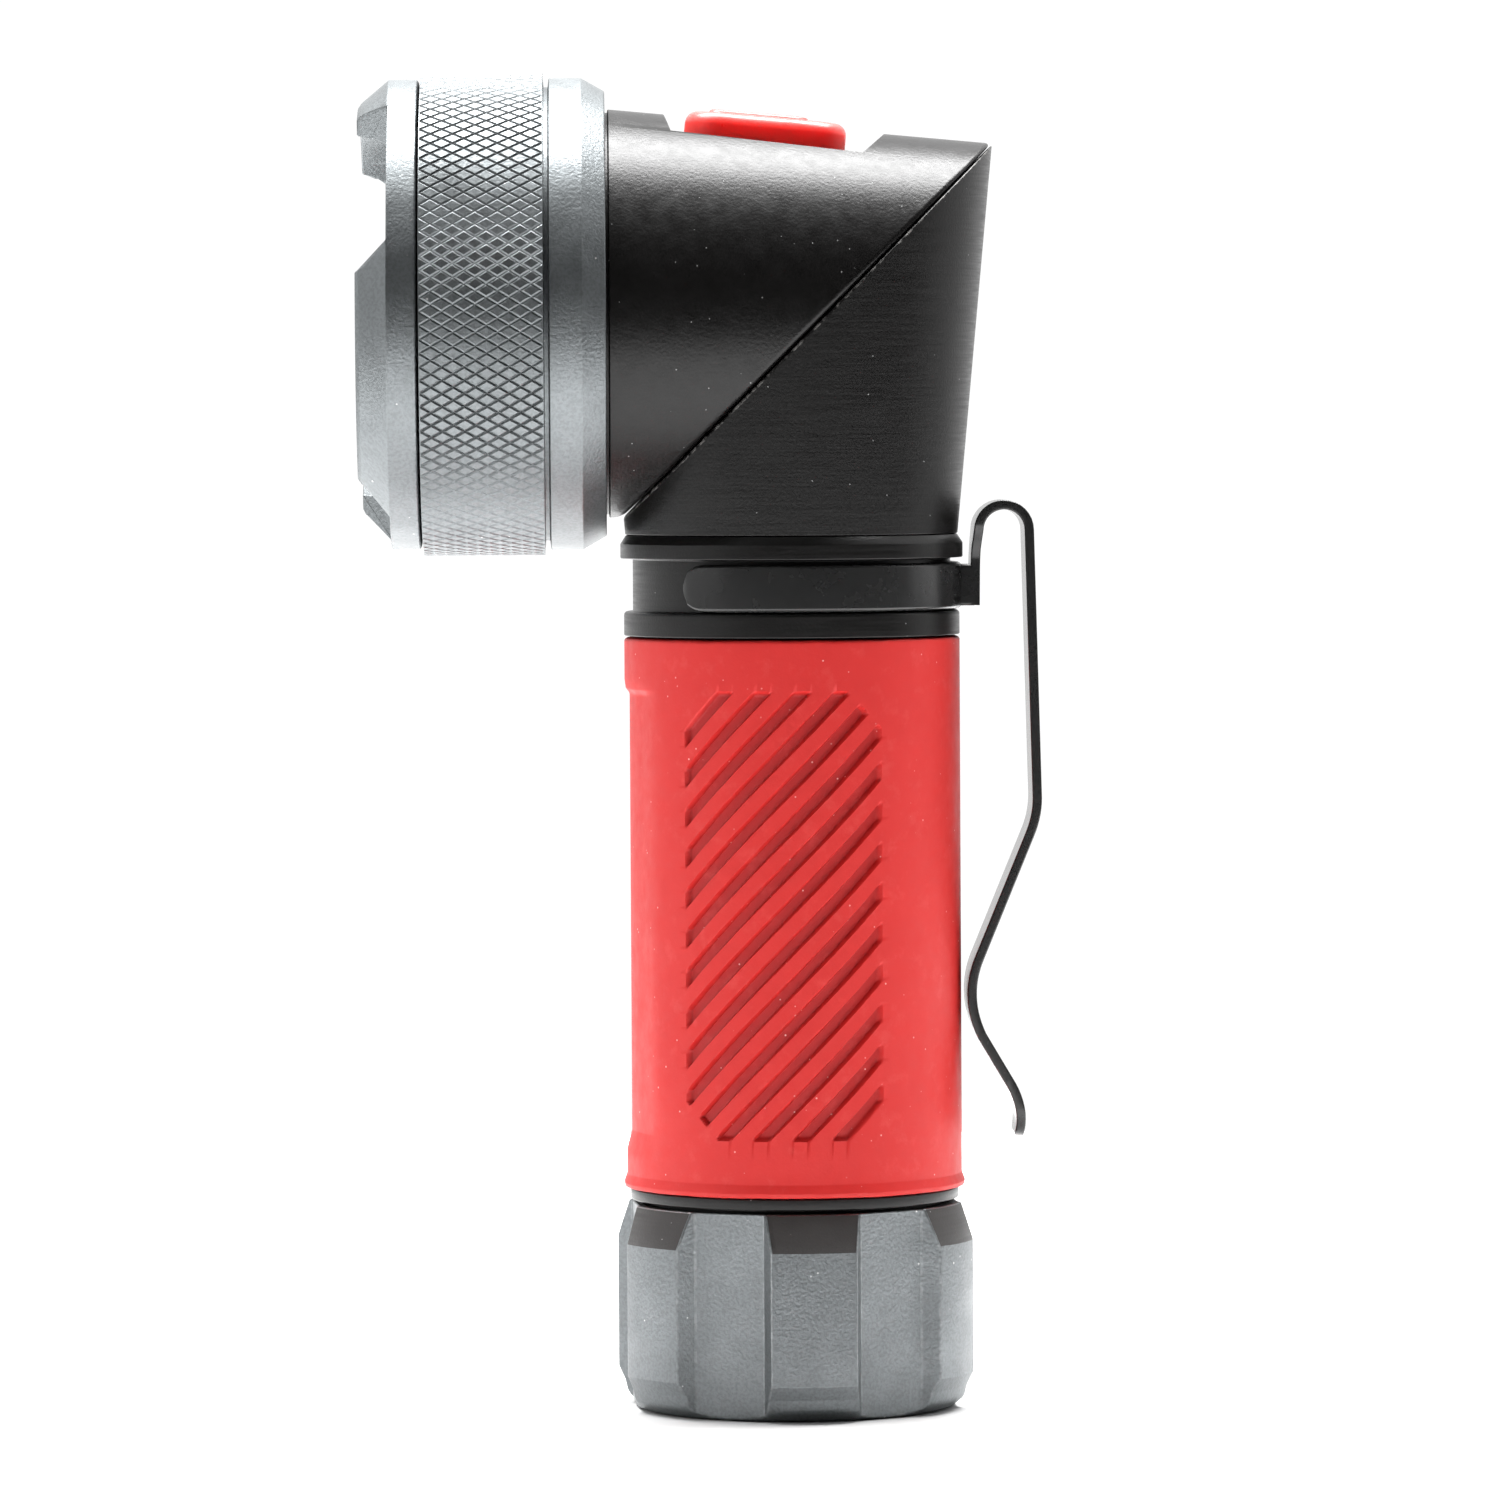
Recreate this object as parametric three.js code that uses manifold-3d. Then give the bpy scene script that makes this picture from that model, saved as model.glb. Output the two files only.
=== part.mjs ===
// Angle-head tactical flashlight: a battery handle that stands on its tail cap, and a sliding-focus
// head that swivels on a 45 degree joint from a right angle to straight.
// Millimetres, +Z up. The origin is the centre of the tail cap's flat base, the handle runs up +Z,
// the head points along -X, and the pocket clip is on +X.
import * as THREE from "three";
import { mergeVertices } from "three/addons/utils/BufferGeometryUtils.js";
import Module from "manifold-3d";

const wasm = await Module();
wasm.setup();

// ---------------------------------------------------------------- driving dimensions

const GAP = 0.3; // clearance between neighbouring pieces
const ROUND = 32; // sides of a large turned shape
const SMALL_ROUND = 16; // sides of a small turned shape
const SECTION_SIDES = 4; // sides of a seal's, spring's or lead's own section
const COIL_STEPS = 8; // steps in one turn of a spring

// tail cap
const CAP_BASE_R = 14.0;
const CAP_R = 16.2; // over the lobes
const CAP_SHOULDER_Z = 15.0; // where the conical top edge starts
const CAP_TOP_Z = 18.3;
const CAP_TOP_R = 15.0;
const CAP_BORE_R = 13.75;
const CAP_FLOOR_Z = 3.0;
const LOBES = 6;
const FLUTE_FLOOR = 14.35; // flute floor from the axis
const FLUTE_WIDTH = 6.7;
const LOBE_TURN = 4.8; // degrees from -Y towards +X

// battery tube
const TUBE_Z = 7.0; // lower end, inside the tail cap
const TUBE_TOP_Z = 78.0;
const TUBE_BORE_R = 11.9;
const TUBE_R = 13.2; // under the grip
const THREAD_CREST_R = 13.35;
const THREAD_ROOT_R = 12.85;
const THREAD_Z = 8.0;
const THREAD_PITCH = 1.5;
const THREAD_TURNS = 4;
const NECK_R = 14.7;
const NECK_Z = 18.6;
const BOARD_SEAT_Z = 71.5; // shoulder in the bore that carries the contact board
const SPIGOT_BORE_R = 13.05;
const LOWER_FLANGE_R = 15.0;
const LOWER_FLANGE_Z = 69.3;
const CLIP_GROOVE_R = 14.2;
const CLIP_GROOVE_Z = 71.2;
const UPPER_FLANGE_R = 15.3;
const UPPER_FLANGE_Z = 75.9;
const COLLAR_TOP_R = 14.9;

// grip
const GRIP_R = 15.0;
const GRIP_BORE_R = 13.35;
const GRIP_Z = 20.1;
const GRIP_TOP_Z = 68.9;
const GRIP_LIP_R = 15.3;
const PANEL_Z = [24.3, 64.2]; // plain recessed panel on the -X side
const PANEL_HALF_WIDTH = 9.0;
const PANEL_DEPTH = 0.45;

// pocket clip
const CLIP_SHEET = 0.8;
const CLIP_RING_R = 14.4; // inside
const CLIP_RING_Z = 71.3;
const CLIP_RING_HEIGHT = 4.2;
const CLIP_RING_HALF = 130.6; // degrees each side of +X
const CLIP_ARM_WIDTH = 8.0;
const CLIP_LOOP_R = 2.35; // centre line

// the cone shared by the elbow and the head, and the swivel that cuts it at 45 degrees
const CONE_Z = 78.15;
const CONE_R = 14.86;
const CONE_SLOPE = 0.0932; // radius gained per millimetre of height
const CONE_WALL = 1.8;
const JOINT = new THREE.Vector3(1.55, 0, 96.2); // swivel centre on the cut
const SEAM = 0.15; // half the gap of the cut
const BULKHEAD = 3.2; // from the cut to the inner face of each closing plate
const SPINDLE_R = 4.9;
const SPINDLE_HOLE_R = 5.1;
const STOP_RADIUS = 7.6; // stop pin's circle about the swivel
const STOP_PIN_R = 1.0;
const STOP_ANGLE = 90; // degrees round the swivel, where the pin stands in the elbow
const SWIVEL_SEAL_R = 14.3;

// head, measured along the handle's axis with the head swivelled straight
const HEAD_BACK_Z = 114.0; // end of the black cone
const BARREL_R = 17.9;
const BARREL_BORE_R = 15.6;
const BARREL_END_Z = 123.4;
const BARREL_SEAL_Z = 121.9;
const SLEEVE_BORE_R = 18.2;
const SLEEVE_Z = 114.25;
const SLEEVE_END_Z = 130.6;
const SLEEVE_BACK_R = 19.8;
const BAND_R = 21.0;
const BAND_Z = [116.35, 119.25];
const KNURL_R = 21.5;
const KNURL_Z = [119.55, 130.5];
const LENS_LIP_R = 13.6;
const LENS_LIP_Z = [124.0, 125.0];
const LENS_SEAT_R = 16.9;
const LENS_R = 15.8;
const LENS_Z = 125.3;
const LENS_RIM = 2.0;
const DOME_R = 13.0;
const DOME_HEIGHT = 5.3;

// strike bezel
const BEZEL_SKIRT_Z = 128.7;
const BEZEL_Z = 130.9;
const BEZEL_BAND_R = 20.9;
const CRENEL_FLOOR_Z = 133.4;
const BEZEL_TIP_Z = 136.15;
const BEZEL_TIP_R = 18.4;
const BEZEL_BORE_R = 13.3;
const BEZEL_STEP_R = 17.0;
const BEZEL_STEP_Z = 133.2;
const CRENELS = 3;
const CRENEL_TURN = -39.3; // first crenel's centre, degrees from +Y towards +X, head straight
const CRENEL_FLOOR_HALF = 21.7; // half width in degrees at the floor
const CRENEL_MOUTH_HALF = 28.0; // half width in degrees at the tip

// switch, in a frame on the cone's surface: x towards the lens, y across, z outwards
const SEAT_Z = 99.15; // middle of the flat-floored notch along the head
const NOTCH_HALF = 9.9; // half length at the surface
const NOTCH_DEPTH = [1.6, 2.05]; // at the lens end and at the swivel end
const NOTCH_FLOOR = [9.15, 7.95]; // the floor's reach towards each end
const CEILING = -3.0; // inner face of the housing under the notch
const BUTTON_X = 0.7; // middle of the button
const BUTTON = { length: 14.4, width: 9.0, corner: 3.0 };
const BUTTON_TOP = 0.5;
const ICON_TOP = 0.8;
const BUTTON_CLEARANCE = 0.2;
const BUTTON_FLANGE = { length: 16.6, width: 10.0, corner: 2.0 };

// batteries
const CELL_R = 5.25;
const CELL_LENGTH = 43.7; // without its contact nub
const CELL_CIRCLE = 6.15; // cell axes from the handle axis
const CARRIER_R = 11.6;
const CARRIER_Z = [13.2, 65.5];
const CARRIER_PLATE = 3.0;

// ---------------------------------------------------------------- materials

function material(color, roughness, metalness) {
  return new THREE.MeshStandardMaterial({ color, roughness, metalness });
}

const greyMetal = () => material(0x7b8387, 0.42, 0.9);
const blackMetal = () => material(0x141416, 0.45, 0.6);
const redSilicone = () => material(0xd8302f, 0.6, 0);
const steel = () => material(0xa9adb0, 0.35, 1);
const brass = () => material(0xc2a35a, 0.35, 1);
const blackRubber = () => material(0x1a1a1a, 0.8, 0);
const blackPlastic = () => material(0x202123, 0.6, 0);
const circuitGreen = () => material(0x1d5a35, 0.5, 0.1);

// ---------------------------------------------------------------- shape helpers

const radians = THREE.MathUtils.degToRad;

// A geometry as a solid that can be joined and cut.
function solid(geometry) {
  const bare = geometry.index ? geometry.toNonIndexed() : geometry.clone();
  bare.deleteAttribute("normal");
  bare.deleteAttribute("uv");
  const merged = mergeVertices(bare, 1e-4);
  const vertProperties = merged.attributes.position.array;
  const triVerts = new Uint32Array(merged.index.array);
  return new wasm.Manifold(new wasm.Mesh({ numProp: 3, vertProperties, triVerts }));
}

// A solid as a named mesh.
function part(name, shape, look) {
  const { numProp, numVert, vertProperties, triVerts } = shape.getMesh();
  const position = new Float32Array(numVert * 3);
  for (let i = 0; i < numVert; i++)
    position.set(vertProperties.subarray(i * numProp, i * numProp + 3), i * 3);
  const geometry = new THREE.BufferGeometry();
  geometry.setAttribute("position", new THREE.BufferAttribute(position, 3));
  geometry.setIndex(new THREE.BufferAttribute(triVerts, 1));
  geometry.computeVertexNormals();
  const mesh = new THREE.Mesh(geometry, look);
  mesh.name = name;
  return mesh;
}

// Twice the area of a profile, positive when it runs anticlockwise with r to the right and z up.
function turning(profile) {
  return profile.reduce((sum, [r, z], i) => {
    const [nextR, nextZ] = profile[(i + 1) % profile.length];
    return sum + r * nextZ - nextR * z;
  }, 0);
}

// A shape turned about Z from [r, z] points, whose first vertex is on -Y. The profile closes on
// itself unless it starts and ends on the axis.
function turned(profile, sides = ROUND) {
  const points = turning(profile) > 0 ? [...profile] : [...profile].reverse();
  const onAxis = points.filter(([r]) => r === 0).length === 2;
  while (onAxis && !(points[0][0] === 0 && points.at(-1)[0] === 0)) points.push(points.shift());
  if (!onAxis) points.push(points[0]);
  const lathe = new THREE.LatheGeometry(
    points.map(([r, z]) => new THREE.Vector2(r, z)),
    sides,
  );
  return solid(lathe.rotateX(Math.PI / 2));
}

// A plain ring or, with no inner radius, a disc.
function ring(inner, outer, low, high, sides = ROUND) {
  return turned([[inner, low], [outer, low], [outer, high], [inner, high]], sides);
}

// A box from its lowest to its highest corner.
function block(x, y, z) {
  const box = new THREE.BoxGeometry(x[1] - x[0], y[1] - y[0], z[1] - z[0]);
  return solid(box.translate((x[0] + x[1]) / 2, (y[0] + y[1]) / 2, (z[0] + z[1]) / 2));
}

// A flat outline raised from one height to another.
function raised(shape, low, high, curveSegments = 3) {
  const options = { depth: high - low, bevelEnabled: false, curveSegments };
  return solid(new THREE.ExtrudeGeometry(shape, options).translate(0, 0, low));
}

function polygon(points) {
  return new THREE.Shape(points.map(([x, y]) => new THREE.Vector2(x, y)));
}

function roundedRectangle({ length, width, corner }, x = 0) {
  const halfLength = length / 2 - corner;
  const halfWidth = width / 2 - corner;
  const shape = new THREE.Shape();
  shape.absarc(x + halfLength, halfWidth, corner, 0, Math.PI / 2);
  shape.absarc(x - halfLength, halfWidth, corner, Math.PI / 2, Math.PI);
  shape.absarc(x - halfLength, -halfWidth, corner, Math.PI, 1.5 * Math.PI);
  shape.absarc(x + halfLength, -halfWidth, corner, 1.5 * Math.PI, 2 * Math.PI);
  return shape;
}

// A section of a ring between two angles in degrees, measured from +X.
function ringSector(inner, outer, from, to) {
  const shape = new THREE.Shape();
  shape.absarc(0, 0, outer, radians(from), radians(to), false);
  shape.absarc(0, 0, inner, radians(to), radians(from), true);
  return shape;
}

// A round wire or seal along a curve.
function wire(curve, radius, steps, sides = SECTION_SIDES) {
  const section = new THREE.Shape();
  for (let i = 0; i < sides; i++) {
    const angle = (2 * Math.PI * i) / sides;
    const point = [radius * Math.cos(angle), radius * Math.sin(angle)];
    if (i === 0) section.moveTo(...point);
    else section.lineTo(...point);
  }
  return solid(new THREE.ExtrudeGeometry(section, { steps, extrudePath: curve }));
}

// A seal ring about Z.
function sealRing(radius, thickness, z) {
  const profile = [];
  for (let i = 0; i < SECTION_SIDES; i++) {
    const angle = (2 * Math.PI * i) / SECTION_SIDES;
    profile.push([radius + thickness * Math.cos(angle), z + thickness * Math.sin(angle)]);
  }
  return turned(profile);
}

// A coil spring about Z, from its lowest to its highest point.
class Coil extends THREE.Curve {
  constructor(radius, low, high, turns) {
    super();
    Object.assign(this, { radius, low, high, turns });
  }

  getPoint(t, target = new THREE.Vector3()) {
    const angle = 2 * Math.PI * this.turns * t;
    const z = THREE.MathUtils.lerp(this.low, this.high, t);
    return target.set(this.radius * Math.cos(angle), this.radius * Math.sin(angle), z);
  }
}

function coilSpring(radius, wireRadius, low, high, turns) {
  const curve = new Coil(radius, low + wireRadius, high - wireRadius, turns);
  return wire(curve, wireRadius, Math.round(turns * COIL_STEPS));
}

function moved(shape, matrix) {
  return shape.transform(matrix.elements);
}

function turnedBy(shape, degrees) {
  return moved(shape, new THREE.Matrix4().makeRotationZ(radians(degrees)));
}

function shifted(shape, x, y, z) {
  return moved(shape, new THREE.Matrix4().makeTranslation(x, y, z));
}

// ---------------------------------------------------------------- frames

// On the cut: x up the slope, y across, z along the swivel's axis into the head.
const SWIVEL = new THREE.Matrix4()
  .makeRotationY(radians(-45))
  .setPosition(JOINT);

function coneRadius(z) {
  return CONE_R + CONE_SLOPE * (z - CONE_Z);
}

// On the cone's surface opposite the clip, with the head straight.
const SEAT = new THREE.Matrix4()
  .makeRotationY(-Math.PI / 2 - Math.atan(CONE_SLOPE))
  .setPosition(-coneRadius(SEAT_Z), 0, SEAT_Z);

// ---------------------------------------------------------------- tail cap

function tailCap() {
  const body = turned([
    [0, 0],
    [CAP_BASE_R, 0],
    [15.2, 0.7],
    [15.4, 1.9],
    [CAP_R, 3.2],
    [CAP_R, CAP_SHOULDER_Z],
    [CAP_TOP_R, CAP_TOP_Z],
    [CAP_BORE_R, CAP_TOP_Z],
    [CAP_BORE_R, CAP_FLOOR_Z],
    [0, CAP_FLOOR_Z],
  ]);
  const outside = CAP_R + 1;
  const half = FLUTE_WIDTH / 2;
  const spread = half + outside - FLUTE_FLOOR; // side walls at 45 degrees
  const outline = [
    [FLUTE_FLOOR, -half],
    [outside, -spread],
    [outside, spread],
    [FLUTE_FLOOR, half],
  ];
  const flute = raised(polygon(outline), -1, CAP_TOP_Z + 1);
  let cap = body;
  for (let i = 0; i < LOBES; i++) {
    const middle = -90 + LOBE_TURN + (360 / LOBES) * (i + 0.5);
    cap = cap.subtract(turnedBy(flute, middle));
  }
  return part("tail_cap", cap, greyMetal());
}

function tailSpring() {
  const low = CAP_FLOOR_Z + GAP;
  return part("tail_spring", coilSpring(5.6, 0.45, low, 11.4, 4), steel());
}

function tailContactPlate() {
  return part("tail_contact_plate", ring(0, 7.5, 11.6, 12.3, SMALL_ROUND), brass());
}

// ---------------------------------------------------------------- handle

function threadCrests() {
  const profile = [];
  for (let i = 0; i < THREAD_TURNS; i++) {
    const z = THREAD_Z + i * THREAD_PITCH;
    profile.push([THREAD_ROOT_R, z], [THREAD_CREST_R, z + THREAD_PITCH / 2]);
  }
  profile.push([THREAD_ROOT_R, THREAD_Z + THREAD_TURNS * THREAD_PITCH]);
  return profile;
}

function batteryTube() {
  const shape = turned([
    [TUBE_BORE_R, TUBE_Z],
    [12.6, TUBE_Z],
    ...threadCrests(),
    [TUBE_R, 14.3],
    [TUBE_R, 15.2],
    [12.55, 15.2], // seal groove
    [12.55, 17.0],
    [TUBE_R, 17.0],
    [TUBE_R, NECK_Z],
    [NECK_R, NECK_Z],
    [NECK_R, 19.8],
    [TUBE_R, 19.8],
    [TUBE_R, LOWER_FLANGE_Z],
    [LOWER_FLANGE_R, LOWER_FLANGE_Z],
    [LOWER_FLANGE_R, CLIP_GROOVE_Z],
    [CLIP_GROOVE_R, CLIP_GROOVE_Z],
    [CLIP_GROOVE_R, UPPER_FLANGE_Z],
    [UPPER_FLANGE_R, UPPER_FLANGE_Z],
    [UPPER_FLANGE_R, 77.0],
    [COLLAR_TOP_R, TUBE_TOP_Z],
    [SPIGOT_BORE_R, TUBE_TOP_Z],
    [SPIGOT_BORE_R, BOARD_SEAT_Z],
    [TUBE_BORE_R, BOARD_SEAT_Z],
  ]);
  return part("battery_tube", shape, blackMetal());
}

function tailSeal() {
  return part("tail_o_ring", sealRing(13.12, 0.48, 16.1), blackRubber());
}

function gripSleeve() {
  const shell = turned([
    [GRIP_BORE_R, GRIP_Z],
    [15.2, GRIP_Z],
    [GRIP_LIP_R, 20.4],
    [GRIP_R, 21.1],
    [GRIP_R, 68.5],
    [14.7, GRIP_TOP_Z],
    [GRIP_BORE_R, GRIP_TOP_Z],
  ]);
  const outer = GRIP_R + 1;
  const sector = ringSector(
    GRIP_R - PANEL_DEPTH,
    outer,
    180 - THREE.MathUtils.radToDeg(Math.asin(PANEL_HALF_WIDTH / GRIP_R)),
    180 + THREE.MathUtils.radToDeg(Math.asin(PANEL_HALF_WIDTH / GRIP_R)),
  );
  const panel = raised(sector, ...PANEL_Z, 8);
  return part("grip_sleeve", shell.subtract(panel), redSilicone());
}

// The spring arm's centre line, x outwards and y up: up from the tab, over the loop, down to the
// knee, in to the grip and out again at the lead-in.
function clipArmLine() {
  const path = new THREE.Path();
  path.moveTo(16.3, 71.6);
  path.lineTo(16.35, 76.2);
  path.lineTo(16.6, 78.3);
  path.absarc(16.6 + CLIP_LOOP_R, 78.3, CLIP_LOOP_R, Math.PI, 0, true);
  path.lineTo(21.87, 54.9);
  path.quadraticCurveTo(21.95, 53.0, 21.2, 51.2);
  path.lineTo(16.6, 40.4);
  path.quadraticCurveTo(15.0, 36.8, 16.7, 33.2);
  path.lineTo(19.0, 29.3);
  path.quadraticCurveTo(20.3, 27.3, 20.15, 25.2);
  path.lineTo(20.0, 24.0);
  return path.getPoints(5);
}

// A strip of even thickness along a flat line, as an outline.
function stripOutline(line, thickness) {
  const side = (i, sign) => {
    const before = line[Math.max(i - 1, 0)];
    const after = line[Math.min(i + 1, line.length - 1)];
    const along = after.clone().sub(before).normalize();
    const offset = new THREE.Vector2(-along.y, along.x).multiplyScalar((sign * thickness) / 2);
    return line[i].clone().add(offset);
  };
  const left = line.map((_, i) => side(i, 1));
  const right = line.map((_, i) => side(i, -1)).reverse();
  return new THREE.Shape([...left, ...right]);
}

function pocketClip() {
  const ringShape = ringSector(
    CLIP_RING_R,
    CLIP_RING_R + CLIP_SHEET,
    -CLIP_RING_HALF,
    CLIP_RING_HALF,
  );
  const top = CLIP_RING_Z + CLIP_RING_HEIGHT;
  const band = raised(ringShape, CLIP_RING_Z, top, 28);
  const tab = block([14.9, 16.3], [-2.6, 2.6], [CLIP_RING_Z + 0.3, top - 0.3]);
  const outline = stripOutline(clipArmLine(), CLIP_SHEET + 0.05);
  const half = CLIP_ARM_WIDTH / 2;
  const arm = moved(raised(outline, -half, half), new THREE.Matrix4().makeRotationX(Math.PI / 2));
  return part("pocket_clip", band.add(tab).add(arm), blackMetal());
}

// ---------------------------------------------------------------- batteries

function cellPlace(i) {
  const angle = radians(90 + 120 * i);
  return [CELL_CIRCLE * Math.cos(angle), CELL_CIRCLE * Math.sin(angle)];
}

function batteryCarrier() {
  const [low, high] = CARRIER_Z;
  let shape = ring(0, CARRIER_R, low, low + CARRIER_PLATE);
  shape = shape.add(ring(0, CARRIER_R, high - CARRIER_PLATE, high));
  const fin = block([-0.1, 10.6], [-0.6, 0.6], [low + 1, high - 1]);
  for (let i = 0; i < 3; i++) shape = shape.add(turnedBy(fin, 30 + 120 * i));
  for (let i = 0; i < 3; i++) {
    const [x, y] = cellPlace(i);
    const room = ring(0, CELL_R + GAP, low + CARRIER_PLATE, high - CARRIER_PLATE, SMALL_ROUND);
    shape = shape.subtract(shifted(room, x, y, 0));
  }
  return part("battery_carrier", shape, blackPlastic());
}

// The middle cell faces down, so that the three are in series.
function cell(i) {
  const low = CARRIER_Z[0] + CARRIER_PLATE;
  const high = CARRIER_Z[1] - CARRIER_PLATE;
  const nub = 0.8;
  const shape = turned(
    [
      [0, 0],
      [CELL_R, 0],
      [CELL_R, CELL_LENGTH],
      [1.9, CELL_LENGTH],
      [1.9, CELL_LENGTH + nub],
      [0, CELL_LENGTH + nub],
    ],
    SMALL_ROUND,
  );
  const [x, y] = cellPlace(i);
  const mesh = part(`aaa_cell_${i + 1}`, shape, material(0xb08d3c, 0.35, 0.8));
  const facesDown = i === 1;
  mesh.rotation.x = facesDown ? Math.PI : 0;
  mesh.position.set(x, y, facesDown ? low + 0.15 + CELL_LENGTH + nub : high - 0.15 - CELL_LENGTH - nub);
  return mesh;
}

function cellSpring(i) {
  const low = CARRIER_Z[0] + CARRIER_PLATE + 0.1;
  const high = CARRIER_Z[1] - CARRIER_PLATE - 0.1;
  const height = 1.5;
  const base = i === 1 ? high - height : low;
  const mesh = part(`cell_spring_${i + 1}`, coilSpring(2.6, 0.25, 0, height, 1.8), steel());
  mesh.position.set(...cellPlace(i), base);
  return mesh;
}

function carrierContacts() {
  const [low, high] = CARRIER_Z;
  return [
    part("carrier_rear_contact", ring(0, 6.5, low - 0.7, low - 0.2, SMALL_ROUND), brass()),
    part("carrier_front_contact", ring(0, 3.2, high + 0.2, high + 0.8, SMALL_ROUND), brass()),
  ];
}

function contactBoard() {
  const shape = ring(0, SPIGOT_BORE_R - 0.15, BOARD_SEAT_Z + 0.1, 73.0);
  return part("contact_board", shape, circuitGreen());
}

function contactSpring() {
  return part("contact_spring", coilSpring(2.4, 0.3, 66.5, 71.4, 4), steel());
}

// ---------------------------------------------------------------- swivel

// Everything between two distances from the cut, measured along the swivel's axis.
function slab(low, high) {
  return moved(block([-45, 45], [-30, 30], [low, high]), SWIVEL);
}

function cone(low, high, wall = 0, sides = ROUND) {
  return turned(
    [
      [0, low],
      [coneRadius(low) - wall, low],
      [coneRadius(high) - wall, high],
      [0, high],
    ],
    sides,
  );
}

function elbowHousing() {
  const spigotBore = 11.4;
  const outside = cone(CONE_Z, 116).intersect(slab(-60, -SEAM));
  const inside = cone(80, 116, CONE_WALL).intersect(slab(-60, -BULKHEAD));
  const spigot = ring(spigotBore, SPIGOT_BORE_R - 0.2, 73.3, CONE_Z + 0.5, ROUND);
  const bore = ring(0, spigotBore, 73, 80.5);
  const spindleHole = ring(0, SPINDLE_HOLE_R, -BULKHEAD - 1, 1, SMALL_ROUND);
  const washerRecess = ring(9.6, 13.2, -0.7, 1);
  const sealGroove = ring(SWIVEL_SEAL_R - 0.6, SWIVEL_SEAL_R + 0.6, -1.0, 1);
  const pinHole = shifted(
    ring(0, STOP_PIN_R + 0.05, -2.6, 1, 12),
    STOP_RADIUS * Math.cos(radians(STOP_ANGLE)),
    STOP_RADIUS * Math.sin(radians(STOP_ANGLE)),
    0,
  );
  const cuts = [spindleHole, washerRecess, sealGroove, pinHole];
  let shape = outside.add(spigot).subtract(inside).subtract(bore);
  for (const cut of cuts) shape = shape.subtract(moved(cut, SWIVEL));
  return part("elbow_housing", shape, blackMetal());
}

// Pieces of the swivel are modelled about its own axis and placed by this group.
function swivelFrame(meshes) {
  const group = new THREE.Group();
  group.applyMatrix4(SWIVEL);
  group.add(...meshes);
  return group;
}

function swivelPieces() {
  const clipGroove = { low: -5.2, high: -4.2, r: 4.3 };
  const spindle = turned(
    [
      [3.4, -6.2],
      [4.6, -6.2],
      [SPINDLE_R, -5.9],
      [SPINDLE_R, clipGroove.low],
      [clipGroove.r, clipGroove.low],
      [clipGroove.r, clipGroove.high],
      [SPINDLE_R, clipGroove.high],
      [SPINDLE_R, BULKHEAD + 0.2],
      [7.4, BULKHEAD + 0.2],
      [7.4, BULKHEAD + 1.2],
      [3.4, BULKHEAD + 1.2],
    ],
    SMALL_ROUND,
  );
  const circlip = raised(ringSector(clipGroove.r + 0.1, 6.4, -160, 160), -5.1, -4.4, 9);
  const springWasher = ring(SPINDLE_HOLE_R + 0.1, 7.6, -4.1, -BULKHEAD - 0.15, SMALL_ROUND);
  const thrustWasher = ring(9.8, 13.0, -0.6, 0.05);
  const seal = sealRing(SWIVEL_SEAL_R, 0.48, -0.4);
  const pin = shifted(
    ring(0, STOP_PIN_R - 0.05, -2.5, 1.7, 12),
    STOP_RADIUS * Math.cos(radians(STOP_ANGLE)),
    STOP_RADIUS * Math.sin(radians(STOP_ANGLE)),
    0,
  );
  return swivelFrame([
    part("swivel_spindle", spindle, steel()),
    part("spindle_circlip", circlip, steel()),
    part("spring_washer", springWasher, steel()),
    part("swivel_washer", thrustWasher, material(0xe8e6df, 0.5, 0)),
    part("swivel_o_ring", seal, blackRubber()),
    part("swivel_stop_pin", pin, steel()),
  ]);
}

// The groove in the head that the stop pin runs in, as it lies with the head straight: half a turn
// and the pin's own width.
function stopGroove() {
  const width = STOP_PIN_R + 0.25;
  const overrun = THREE.MathUtils.radToDeg(width / STOP_RADIUS) + 1;
  const sector = ringSector(
    STOP_RADIUS - width,
    STOP_RADIUS + width,
    STOP_ANGLE - overrun,
    STOP_ANGLE + 180 + overrun,
  );
  return raised(sector, -1, 2.1, 12);
}

// ---------------------------------------------------------------- head

function notch() {
  const rise = 3;
  const mouth = NOTCH_FLOOR.map(
    (reach, end) => NOTCH_HALF + ((NOTCH_HALF - reach) * rise) / NOTCH_DEPTH[end],
  );
  const outline = [
    [-NOTCH_FLOOR[1], -NOTCH_DEPTH[1]],
    [NOTCH_FLOOR[0], -NOTCH_DEPTH[0]],
    [mouth[0], rise],
    [-mouth[1], rise],
  ];
  const prism = raised(polygon(outline), -20, 20);
  return moved(prism, new THREE.Matrix4().makeRotationX(Math.PI / 2));
}

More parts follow.
